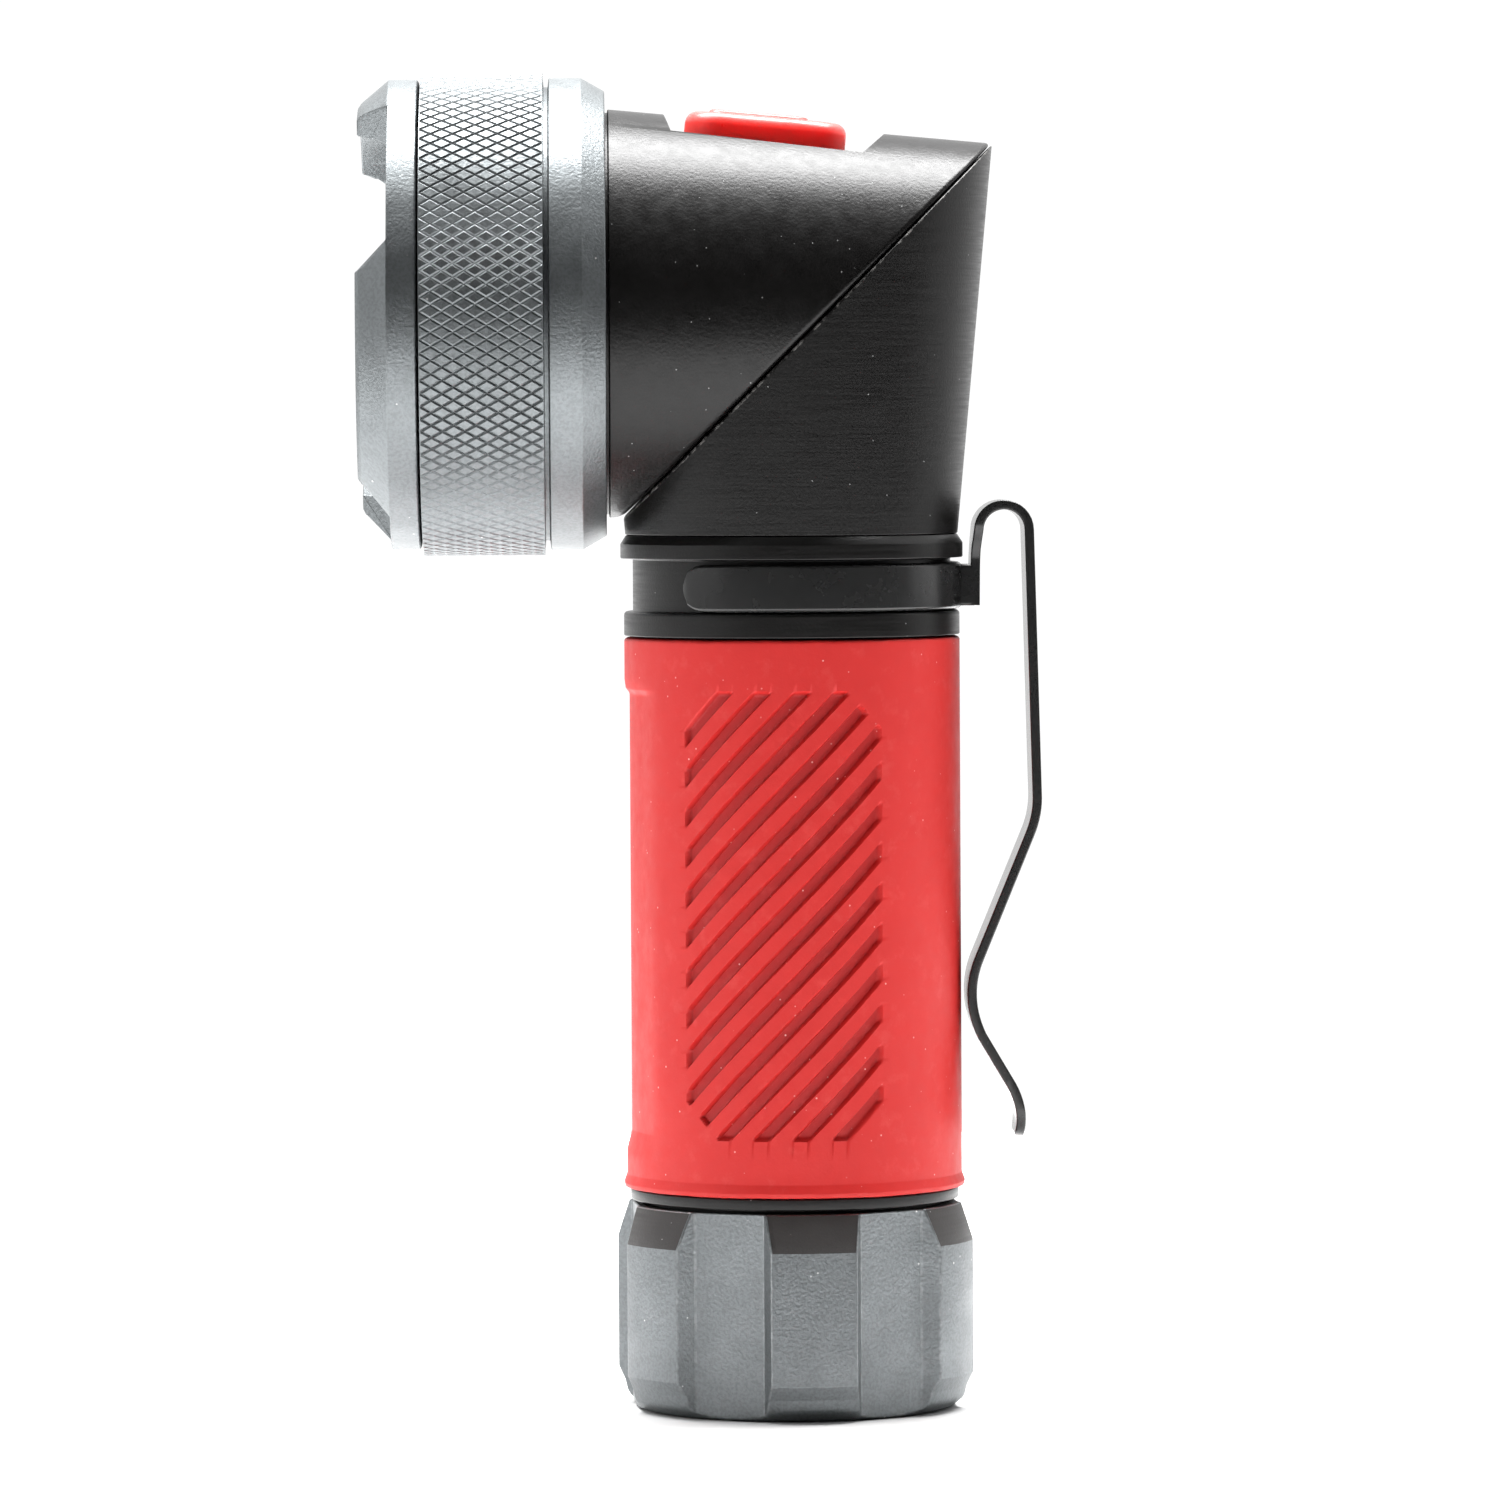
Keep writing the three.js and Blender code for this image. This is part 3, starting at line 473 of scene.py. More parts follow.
def lathe_black(name, roughness, ridge, depth, level=1.0):
    """Black anodised aluminium with the fine rings that turning leaves, about Z."""
    look = Look(name, Specular_IOR_Level=0.34)
    rings = look.noise(ridge, 3, 0.6, look.stretched(0.04, 0.04, 1))
    fine = look.noise(0.25, 1)
    colour = look.mix(
        look.noise(6, 3),
        grey(0.003 * level, (1.0, 0.90, 0.87)),
        grey(0.006 * level, (1.0, 0.92, 0.9)),
    )
    dust = look.math("MULTIPLY", look.specks(1.8, 0.04), 0.6)
    colour = look.mix(dust, colour, (0.5, 0.5, 0.5, 1))
    rough = look.steps(rings, (0.3, roughness - 0.06), (0.7, roughness + 0.08))
    look.set(Base_Color=colour, Roughness=rough)
    look.bump((rings, depth), (fine, 0.012))
    return look.material


def blasted_black(name, wear=0.0):
    """Black anodised aluminium with a coarse sparkling blast."""
    look = Look(name, Specular_IOR_Level=0.34)
    fine = look.noise(0.3, 1, 0.5)
    coarse = look.noise(0.6, 2)
    colour = look.mix(look.noise(8, 3), grey(0.003, (1.0, 0.90, 0.87)), grey(0.006, (1.0, 0.92, 0.9)))
    if wear:
        colour = look.chipped(colour, wear, (0.28, 0.27, 0.26, 1))
    dust = look.math("MULTIPLY", look.specks(1.5, 0.05), 0.6)
    colour = look.mix(dust, colour, (0.45, 0.45, 0.45, 1))
    rough = look.steps(look.noise(1.2, 3), (0.3, 0.30), (0.7, 0.39))
    look.set(Base_Color=colour, Roughness=rough)
    look.bump((fine, 0.02), (coarse, 0.003))
    return look.material


def silicone(name, dark, light, roughness, shine, through, depth):
    look = Look(name, Specular_IOR_Level=shine)
    look.shader.inputs["Subsurface Weight"].default_value = through
    look.shader.inputs["Subsurface Radius"].default_value = (1.0, 0.25, 0.2)
    look.shader.inputs["Subsurface Scale"].default_value = depth * MM
    colour = look.mix(look.noise(7, 3), dark, light)
    # Painted shade: the groove attribute, the depth share of the grip's grooves, darkens the colour towards
    # a deep red, standing in for the shade that falls in the grooves.
    groove = look.node("Attribute", attribute_name="groove").outputs["Fac"]
    colour = look.mix(look.math("MULTIPLY", groove, 0.8), colour, (0.40, 0.011, 0.011, 1))
    smudge = look.steps(look.noise(2.2, 5, 0.7), (0.55, 0), (0.8, 0.25))
    colour = look.mix(smudge, colour, (0.80, 0.13, 0.12, 1))
    dust = look.math("MULTIPLY", look.specks(1.3, 0.07), look.steps(look.noise(4, 2), (0.4, 0), (0.6, 0.8)))
    colour = look.mix(dust, colour, (0.95, 0.62, 0.58, 1))
    rough = look.steps(look.noise(1.6, 4), (0.3, roughness - 0.07), (0.7, roughness + 0.07))
    look.set(Base_Color=colour, Roughness=rough)
    look.bump((look.noise(0.22, 3), 0.012), (look.noise(2.5, 2), 0.03))
    return look.material


def painted_black():
    look = Look("clip_black_gloss", Specular_IOR_Level=0.42)
    look.shader.inputs["Coat Weight"].default_value = 0.2
    look.shader.inputs["Coat Roughness"].default_value = 0.12
    colour = look.mix(look.noise(5, 3), neutral(0.010), neutral(0.020))
    rough = look.steps(look.noise(2, 4), (0.3, 0.25), (0.7, 0.28))
    look.set(Base_Color=colour, Roughness=rough)
    look.bump((look.noise(0.5, 2), 0.003))
    return look.material


def glass():
    look = Look("lens_clear", roughness=0.02, IOR=1.49)
    look.shader.inputs["Transmission Weight"].default_value = 1.0
    haze = look.steps(look.noise(3, 4), (0.45, 0.015), (0.8, 0.05))
    look.set(
        Base_Color=look.mix(look.noise(6, 2), (0.985, 0.99, 1, 1), (0.97, 0.985, 0.99, 1)),
        Roughness=haze,
    )
    look.bump((look.noise(4, 2), 0.002))
    return look.material


def plain(name, dark, light, roughness, metallic, grain, depth, patch=4.0):
    """A material of two close colours in patches, with its own grain in gloss and height."""
    look = Look(name, metallic=metallic)
    fine = look.noise(grain, 3)
    colour = look.mix(look.noise(patch, 3), dark, light)
    rough = look.steps(look.noise(patch / 3, 3), (0.3, roughness - 0.05), (0.7, roughness + 0.07))
    look.set(Base_Color=colour, Roughness=rough)
    look.bump((fine, depth))
    return look.material


def brushed(name, dark, light, roughness, size):
    """Metal with fine scratches that run across Z."""
    look = Look(name, metallic=1.0)
    lines = look.noise(size, 4, 0.65, look.stretched(0.08, 0.08, 1))
    colour = look.mix(look.steps(lines, (0.35, 0), (0.65, 1)), dark, light)
    look.set(
        Base_Color=colour,
        Roughness=look.steps(lines, (0.3, roughness - 0.05), (0.7, roughness + 0.08)),
    )
    look.bump((lines, 0.01))
    return look.material


def circuit(name, mask, copper):
    """A circuit board: solder mask over copper tracks, with bare tinned spots."""
    look = Look(name, roughness=0.35)
    blocks = look.node(
        "TexVoronoi", {"Vector": look.place, "Scale": 1 / (1.4 * MM)}, distance="MANHATTAN"
    ).outputs["Distance"]
    tracks = look.steps(blocks, (0.28, 0), (0.32, 1), (0.42, 1), (0.46, 0))
    colour = look.mix(tracks, mask, copper)
    spots = look.specks(2.2, 0.14)
    colour = look.mix(spots, colour, (0.7, 0.68, 0.62, 1))
    look.set(Base_Color=colour, Metallic=look.steps(spots, (0, 0), (1, 0.9)))
    look.bump((tracks, 0.03), (look.noise(0.3, 3), 0.006))
    return look.material


def cell_wrap():
    """A printed plastic battery sleeve: two plain bands of colour round each cell."""
    look = Look("cell_sleeve", roughness=0.28)
    height = look.node("SeparateXYZ", {0: look.place}).outputs["Z"]
    band = look.steps(look.math("MULTIPLY", height, 12.0), (0.60, 0), (0.605, 1))
    colour = look.mix(band, (0.015, 0.015, 0.017, 1), (0.60, 0.33, 0.08, 1))
    colour = look.mix(look.math("MULTIPLY", look.noise(0.8, 4), 0.25), colour, (0.2, 0.2, 0.2, 1))
    look.set(Base_Color=colour, Roughness=look.steps(look.noise(1.5, 3), (0.3, 0.22), (0.7, 0.36)))
    look.bump((look.noise(1.0, 3), 0.01))
    return look.material


GREY_METAL = blasted_metal("grey_blasted_aluminium", grey(0.205), grey(0.235), 0.42, 0.28)
GREY_CHIPPED = blasted_metal("grey_aluminium_edge", grey(0.20), grey(0.23), 0.40, 0.28, 0.1)
BLACK_EDGE = lathe_black("black_turned_edge", 0.40, 0.4, 0.006, 9.0)
BLACK_CHIPPED = blasted_black("black_aluminium_edge", 0.5)
BLACK_TURNED = lathe_black("black_turned_aluminium", 0.34, 0.22, 0.009)
BLACK_BLASTED = blasted_black("black_blasted_aluminium")
RED = silicone(
    "red_silicone_rubber", (0.57, 0.018, 0.016, 1), (0.63, 0.024, 0.021, 1), 0.53, 0.35, 0.12, 0.8
)
RED_BUTTON = silicone(
    "red_button_rubber", (0.95, 0.095, 0.085, 1), (1.0, 0.115, 0.10, 1), 0.34, 0.6, 0.8, 3.0
)
CLIP_BLACK = painted_black()
LENS = glass()
STEEL = brushed("bright_steel", neutral(0.48), neutral(0.62), 0.3, 0.2)
SINK = brushed("turned_aluminium", neutral(0.6), neutral(0.75), 0.28, 0.25)
BRASS = brushed("contact_brass_plate", (0.58, 0.38, 0.14, 1), (0.72, 0.50, 0.20, 1), 0.3, 0.2)
RUBBER = plain("black_nitrile", neutral(0.012), neutral(0.022), 0.55, 0.0, 0.15, 0.012)
PLASTIC = plain("black_moulding", neutral(0.020), neutral(0.034), 0.5, 0.0, 0.25, 0.015)
NYLON = plain("white_nylon_washer", (0.78, 0.76, 0.70, 1), (0.85, 0.83, 0.78, 1), 0.45, 0, 0.3, 0.01)
BOARD = circuit("green_board", (0.012, 0.10, 0.035, 1), (0.03, 0.20, 0.07, 1))
WHITE_BOARD = plain("white_board_mask", (0.80, 0.80, 0.78, 1), (0.88, 0.88, 0.86, 1), 0.35, 0, 0.4, 0.006)
PHOSPHOR = plain("phosphor", (0.85, 0.62, 0.08, 1), (0.95, 0.74, 0.14, 1), 0.3, 0, 0.15, 0.006, 1.0)
WRAP = cell_wrap()
LEAD_RED = plain("red_lead_sleeve", (0.45, 0.02, 0.02, 1), (0.55, 0.03, 0.03, 1), 0.4, 0, 0.2, 0.01)
LEAD_BLACK = plain("black_lead_sleeve", neutral(0.015), neutral(0.03), 0.4, 0, 0.2, 0.01)


def finished(obj, body, looks, replaced, matrix=None):
    """Gives a piece its materials, its place, the body it moves with and what it stands for."""
    chosen = [min(face.material_index, len(looks) - 1) for face in obj.data.polygons]
    obj.data.materials.clear()
    for look in looks:
        obj.data.materials.append(look)
    obj.data.polygons.foreach_set("material_index", chosen)
    if matrix is not None:
        obj.matrix_world = matrix
    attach(obj, body)
    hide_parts(*replaced)


# ---------------------------------------------------------------- tail cap


def tail_cap():
    outline = [
        (0, 0),
        (14.2, 0, 0.6),
        (15.25, 0.9, 1.0),
        (15.55, 2.0, 1.0),
        (16.2, 3.2, 0.35),
        (16.2, CAP_SHOULDER, 0.1),
        (15.0, CAP_TOP, 0.15),
        (13.75, CAP_TOP, 0.2),
        (13.75, 3.0, 0.4),
        (0, 3.0),
    ]
    cap = turned("tail_cap_shell", rounded(outline))
    outer = 18.0  # clear of the cap
    half = FLUTE_WIDTH / 2
    spread = half + outer - FLUTE_FLOOR
    flute = [(FLUTE_FLOOR, -half), (outer, -spread), (outer, spread), (FLUTE_FLOOR, half)]
    cutters = []
    for i in range(LOBES):
        middle = math.radians(-90 + LOBE_TURN + (360 / LOBES) * (i + 0.5))
        cutters.append(placed(prism("flute", flute, -1, 19.5), Matrix.Rotation(middle, 4, "Z")))
    combine(cap, cutters, merge=0.06)
    soften(cap, 0.14, 3, clamp=False)
    smooth(cap)
    looks = [GREY_METAL, GREY_CHIPPED, BLACK_EDGE]
    finished(cap, "tail_cap", looks, ["tail_cap"])
    for face in cap.data.polygons:
        x, y, z = face.center / MM
        reach = math.hypot(x, y)
        on_cone = z > CAP_SHOULDER - 0.02 and reach > 14.5 and face.normal.z > 0.2
        on_top = z > CAP_TOP - 0.2 and reach > 13.6
        if face.material_index == 0 and (on_cone or on_top):
            face.material_index = 2


tail_cap()

# ---------------------------------------------------------------- battery tube


def tube():
    thread = [
        (THREAD_R, THREAD_LOW + k * THREAD_PITCH / THREAD_STEPS)
        for k in range(THREAD_TURNS * THREAD_STEPS + 1)
    ]
    end = THREAD_LOW + THREAD_TURNS * THREAD_PITCH
    bottom = rounded([(11.9, 7.0), (12.6, 7.0, 0.2), (13.1, 7.6, 0.2), (13.1, 7.9, 0)], 0.1)[:-1]
    top = rounded(
        [
            (13.2, 14.4, 0.1),
            (13.2, 15.2),
            (12.55, 15.2),
            (12.55, 17.0),
            (13.2, 17.0),
            (13.2, 18.6, 0.05),
            (14.7, 18.6, 0.2),
            (14.7, 19.65, 0.15),
            (13.2, 19.65, 0.05),
            (13.2, 69.02, 0.05),
            (15.0, 69.02, 0.12),
            (15.0, 71.2, 0.35),
            (14.2, 71.2, 0.15),
            (14.2, 75.9, 0.15),
            (15.3, 75.9, 0.12),
            (15.3, 77.2, 0.15),
            (14.8, 77.97, 0.15),
            (14.5, 78.0, 0.05),
            (13.05, 78.0, 0.1),
            (13.05, 71.5, 0.1),
            (11.9, 71.5, 0.1),
            (11.9, 70.0, 0),
        ],
        0.08,
    )

    def helix(angle, r, z):
        if not THREAD_LOW + 0.05 < z < end - 0.05:
            return 0
        phase = ((z - THREAD_LOW) / THREAD_PITCH - angle / (2 * math.pi)) % 1
        fade = min(1, (z - THREAD_LOW) / 0.6, (end - z) / 0.6)
        return fade * (0.25 - 0.5 * abs(2 * phase - 1)) * 0.95

    tube_shell = turned("tube_shell", bottom + thread + top, SIDES, helix)
    smooth(tube_shell, 50)
    finished(tube_shell, "handle", [BLACK_TURNED], ["battery_tube"])


tube()
tail_seal = smooth(seal("tail_seal_ring", 13.1, 0.56, 16.1), 80)
finished(tail_seal, "handle", [RUBBER], ["tail_o_ring"])

# ---------------------------------------------------------------- grip

GROOVE = [0, 0.45] + [1] * 9 + [0.45]  # depth across a groove, by row


def ease(value):
    value = max(0.0, min(1.0, value))
    return value * value * (3 - 2 * value)


def ragged(angle, size):
    """An uneven moulded edge, the same on every run."""
    wave = sum(math.sin(k * angle + 1.7 * k * k) / k**0.4 for k in (7, 13, 23, 41, 67, 101))
    return size * wave / 4


def grip():
    step = HATCH_PITCH / HATCH_STEPS
    across = 2 * round(math.radians(HATCH_HALF) * GRIP_R / step)
    columns = []  # (angle in degrees from -Y towards +X, column of the hatch or None)
    half_turn = math.degrees(across / 2 * step / GRIP_R)
    for middle in (HATCH_TURN, HATCH_TURN + 180):
        for i in range(across + 1):
            columns.append((middle - half_turn + 2 * half_turn * i / across, i))
        gap = 180 - 2 * half_turn
        for k in range(1, PLAIN_COLUMNS):
            columns.append((middle + half_turn + gap * k / PLAIN_COLUMNS, None))
    low, high = GRIP_Z
    straight_low, straight_high = GRIP_STRAIGHT
    chamfer = round(HATCH_CHAMFER / step)
    lip = [
        (GRIP_BORE, low, 0.1),
        (15.22, low, 0.12),
        (15.3, 20.15, 0.2),
        (GRIP_R, 20.9, 0.5),
        (GRIP_R, straight_low, 0),
    ]
    shoulder = [
        (GRIP_R, straight_high, 0),
        (GRIP_R, high, 0.4),
        (14.3, high, 0.1),
        (GRIP_BORE, high, 0.1),
    ]
    rows = [(r, z, None) for r, z in rounded(lip)[:-1]]  # (r, z, row of the hatch or None)
    rows += [(GRIP_R, straight_low, None), (GRIP_R, 23.0, None)]
    for j in range(HATCH_ROWS + 1):
        rows.append((GRIP_R, HATCH_LOW + j * step, j))
    top = HATCH_LOW + HATCH_ROWS * step
    for k in range(1, 6):
        rows.append((GRIP_R, top + (straight_high - top) * k / 5, None))
    rows += [(r, z, None) for r, z in rounded(shoulder)[1:]]

    def hatch(i, j):
        if i is None or j is None:
            return 0
        from_side, from_end = min(i, across - i), min(j, HATCH_ROWS - j)
        inside = min(from_side, from_end, from_side + from_end - chamfer)
        row = (j - i + HATCH_SHIFT) % HATCH_STEPS
        return GROOVE[row] * ease(inside / 2.5) * HATCH_DEPTH if row < len(GROOVE) else 0

    def recess(angle, z):
        off_middle = abs((angle + 90 + 180) % 360 - 180)
        side = ease((RECESS_HALF - off_middle) / RECESS_EASE[0])
        start = ease((z - RECESS_Z[0]) / RECESS_EASE[1] + 0.5)
        end = ease((RECESS_Z[1] - z) / RECESS_EASE[1] + 0.5)
        return RECESS_DEPTH * side * (start * end)

    points, painted_groove_shade = [], []
    for r, z, j in rows:
        for angle, i in columns:
            a = math.radians(angle)
            reach, height = r, z
            painted_groove_shade.append(hatch(i, j) / HATCH_DEPTH)
            if r > GRIP_BORE + 0.5:
                reach -= hatch(i, j) + recess(angle, z)
                if z < low + 0.5:
                    height += ragged(a, 0.09)
                    reach += ragged(a + 2, 0.05) - 0.03
                if z > high - 0.32:
                    height += ragged(a + 1, 0.12) - 0.08
            points.append((reach * math.sin(a), -reach * math.cos(a), height))
    faces = []
    count = len(columns)
    for j in range(len(rows)):
        following = (j + 1) % len(rows)
        for i in range(count):
            n = (i + 1) % count
            a, b = j * count + i, j * count + n
            c, d = following * count + n, following * count + i
            faces += [(a, b, c), (a, c, d)]
    skin = mesh_object("grip_skin", points, faces)
    # Each point's groove depth share is kept as the groove attribute, and the material paints shade into
    # the grooves with it.
    shade = skin.data.attributes.new("groove", "FLOAT", "POINT")
    shade.data.foreach_set("value", painted_groove_shade)
    smooth(skin, 50)
    finished(skin, "handle", [RED], ["grip_sleeve"])


grip()

# ---------------------------------------------------------------- pocket clip


def clip_line():
    """The spring arm's centre line as (x, z): up from the tab, over the loop, down, in and out."""
    line = [(16.3, 71.6), (16.31, 72.4), (16.32, 73.4), (16.33, 74.6)]
    line += [(16.35, 75.6), (16.4, 76.6), (16.5, 77.5)]
    middle = (16.6 + CLIP_LOOP_R, 78.3)
    for k in range(17):
        a = math.pi * (1 - k / 16)
        line.append((middle[0] + CLIP_LOOP_R * math.cos(a), middle[1] + CLIP_LOOP_R * math.sin(a)))

    def straight(end, steps):
        start = line[-1]
        for k in range(1, steps + 1):
            t = k / steps
            line.append((start[0] + (end[0] - start[0]) * t, start[1] + (end[1] - start[1]) * t))

    def curve(pull, end, steps):
        start = line[-1]
        for k in range(1, steps + 1):
            t = k / steps
            line.append(
                tuple(
                    (1 - t) ** 2 * start[c] + 2 * t * (1 - t) * pull[c] + t * t * end[c]
                    for c in (0, 1)
                )
            )

    straight((21.7, 54.9), 12)
    curve((21.8, 53.0), (21.05, 51.2), 8)
    straight((16.6, 40.4), 8)
    curve((15.0, 36.8), (16.7, 33.2), 14)
    straight((19.0, 29.3), 4)
    curve((20.3, 27.3), (20.15, 25.2), 8)
    straight((20.0, 24.0), 5)
    return line


def strip_section(width, thickness, corner=0.15):
    corner = min(corner, width / 2.1, thickness / 2.1)
    return rounded_rectangle(width, thickness, corner, 0, 4)


def clip():
    line = clip_line()
    lengths = [0.0]
    for a, b in zip(line, line[1:]):
        lengths.append(lengths[-1] + math.dist(a, b))
    rings = []
    for k, (x, z) in enumerate(line):
        before, after = line[max(k - 1, 0)], line[min(k + 1, len(line) - 1)]
        along = Vector((after[0] - before[0], after[1] - before[1])).normalized()
        from_end = lengths[-1] - lengths[k]
        tip = math.sqrt(max(0.0, 1 - (1 - min(1, from_end / 2.6)) ** 2))
        neck = CLIP_NECK + (CLIP_WIDTH - CLIP_NECK) * ease((lengths[k] - 4.6) / 2.6)
        width = max(2.2, neck * (0.35 + 0.65 * tip))
        thick = CLIP_SHEET + 0.05 if from_end > 0.01 else 0.5
        section = strip_section(width, thick)
        rings.append([(x - along.y * t, w, z + along.x * t) for w, t in section])
    arm = loops("clip_spring", rings)
    rings = []
    steps = 120
    low, high = CLIP_RING_Z
    for k in range(steps + 1):
        share = 2 * k / steps - 1
        turn = math.radians(CLIP_RING_HALF * share)
        from_end = (1 - abs(share)) * math.radians(CLIP_RING_HALF) * CLIP_RING_R
        tip = math.sqrt(max(0.0, 1 - (1 - min(1, from_end / 2.0)) ** 2))
        height = (high - low) * (0.3 + 0.7 * tip)
        ring_points = []
        for up, out in strip_section(height, CLIP_SHEET, 0.36):
            crown = 0.42 * (1 - (2 * up / (high - low)) ** 2) * tip if out > 0 else 0
            reach = CLIP_RING_R + CLIP_SHEET / 2 + out + crown - 0.1
            ring_points.append(
                (reach * math.cos(turn), reach * math.sin(turn), (low + high) / 2 + up)
            )
        rings.append(ring_points)
    band = loops("clip_band", rings)
    tab = soften(box("clip_tab", (14.8, 16.45), (-2.6, 2.6), (low + 0.25, high - 0.25)), 0.3, 3)
    combine(arm, [band, tab], "UNION")
    smooth(arm, 45)
    finished(arm, "clip", [CLIP_BLACK], ["pocket_clip"])


clip()

# ---------------------------------------------------------------- elbow and head


def slab(low, high):
    """Everything between two distances from the cut, along the swivel's axis."""
    return placed(box("slab", (-60, 60), (-40, 40), (low, high)), SWIVEL)


def cone(low, high, wall):
    outline = [
        (0, low),
        (cone_radius(low) - wall, low),
        (cone_radius(high) - wall, high),
        (0, high),
    ]
    return turned("cone", outline, SIDES)


def elbow():
    past_cut = 117
    shell = turned(
        "elbow_shell",
        rounded(
            [
                (0, ELBOW_FOOT),
                (cone_radius(ELBOW_FOOT), ELBOW_FOOT, 0.1),
                (cone_radius(past_cut), past_cut),
                (0, past_cut),
            ]
        ),
    )
    combine(shell, [slab(-SEAM, 80)])
    soften(shell, 0.22, 3)
    hollow = cone(80.0, 118, CONE_WALL)
    combine(hollow, [slab(-BULKHEAD, 80)])
    spigot = ring("spigot", 11.4, 12.85, 73.3, CONE_Z + 0.6)
    hole = placed(ring("hole", 0, SPINDLE_BORE, -6, 1, 0, SMALL_SIDES), SWIVEL)
    combine(shell, [hollow, ring("bore", 0, 11.4, 70, 80.6), hole])
    combine(shell, [spigot], "UNION")
    recess = placed(ring("recess", 9.6, 13.2, -0.7, 1), SWIVEL)
    groove = placed(ring("groove", 13.7, 14.9, -1.0, 1), SWIVEL)
    combine(shell, [recess, groove])
    smooth(shell)
    finished(shell, "handle", [BLACK_TURNED, BLACK_CHIPPED], ["elbow_housing"])


def head():
    outline = [
        (0, 76),
        (cone_radius(76), 76, 0),
        (cone_radius(HEAD_BACK), HEAD_BACK, 0.2),
        (BARREL_R, HEAD_BACK, 0.05),
        (BARREL_R, SEAL_Z - 0.6),
        (17.1, SEAL_Z - 0.6),
        (17.1, SEAL_Z + 0.6),
        (BARREL_R, SEAL_Z + 0.6),
        (BARREL_R, BARREL_END, 0.3),
        (0, BARREL_END),
    ]
    shell = turned("head_shell", rounded(outline, 0.06))
    above = 3  # how far the cutter stands out of the cone
    mouth = [
        NOTCH_HALF + (NOTCH_HALF - reach) * above / depth
        for reach, depth in zip(NOTCH_FLOOR, NOTCH_DEPTH)
    ]
    notch = [
        (-NOTCH_FLOOR[1], -NOTCH_DEPTH[1]),
        (NOTCH_FLOOR[0], -NOTCH_DEPTH[0]),
        (mouth[0], above),
        (-mouth[1], above),
    ]
    notch = placed(prism("notch", notch, -20, 20), SEAT @ Matrix.Rotation(math.pi / 2, 4, "X"))
    hole = prism("hole", rounded_rectangle(14.8, 9.4, 3.2, BUTTON_X), CEILING - 2, 2)
    combine(shell, [slab(-80, SEAM), notch, placed(hole, SEAT)])
    ease_cut(shell, 0.6)
    soften(shell, 0.25, 3)
    hollow = cone(76, 112.6, CONE_WALL)
    ceiling = placed(box("ceiling", (-18, 12), (-20, 20), (CEILING, 5)), SEAT)
    combine(hollow, [slab(-80, BULKHEAD), ceiling])
    bore = ring("bore", 0, BARREL_BORE, 112.2, 130)
    spindle = placed(ring("spindle", 0, SPINDLE_BORE, -1, 6, 0, SMALL_SIDES), SWIVEL)
    combine(shell, [hollow, bore, spindle])
    smooth(shell)
    finished(shell, "head", [BLACK_BLASTED, BLACK_CHIPPED], ["head_housing"], HEAD)


elbow()
head()


def button():
    """The rubber switch cover: a flange, a stem with a rounded top, and a low raised pad."""
    length, width, corner = 14.4, 9.0, 3.0
    fillet, top, pad_x = 1.1, 0.5, 1.4
    levels = [  # length, width, corner, x, height
        (16.6, 10.0, 2.0, BUTTON_X, -4.0),
        (16.6, 10.0, 2.0, BUTTON_X, -3.2),
        (length, width, corner, BUTTON_X, -3.2),
        (length, width, corner, BUTTON_X, -0.6),
    ]
    for k in range(1, 9):
        a = math.pi / 2 * k / 8
        inset = fillet * (1 - math.cos(a))
        size = (length - 2 * inset, width - 2 * inset, corner - inset * 0.8)
        levels.append((*size, BUTTON_X, top - fillet + fillet * math.sin(a)))
    levels += [
        (9.6, 6.0, 1.8, pad_x, top + 0.02),
        (8.9, 5.4, 1.4, pad_x, top + 0.05),
        (8.7, 5.2, 1.3, pad_x, top + 0.2),
        (8.4, 4.9, 1.15, pad_x, top + 0.28),
        (8.0, 4.5, 1.0, pad_x, top + 0.3),
        (5.0, 2.4, 1.0, pad_x, top + 0.3),
    ]
    rings = [
        [(px, py, height) for px, py in rounded_rectangle(length, width, corner, x)]
        for length, width, corner, x, height in levels
    ]
    cover = placed(loops("switch_button", rings), SEAT)
    smooth(cover, 45)
    finished(cover, "button", [RED_BUTTON], ["switch_boot"], HEAD)


button()

# ---------------------------------------------------------------- focus sleeve


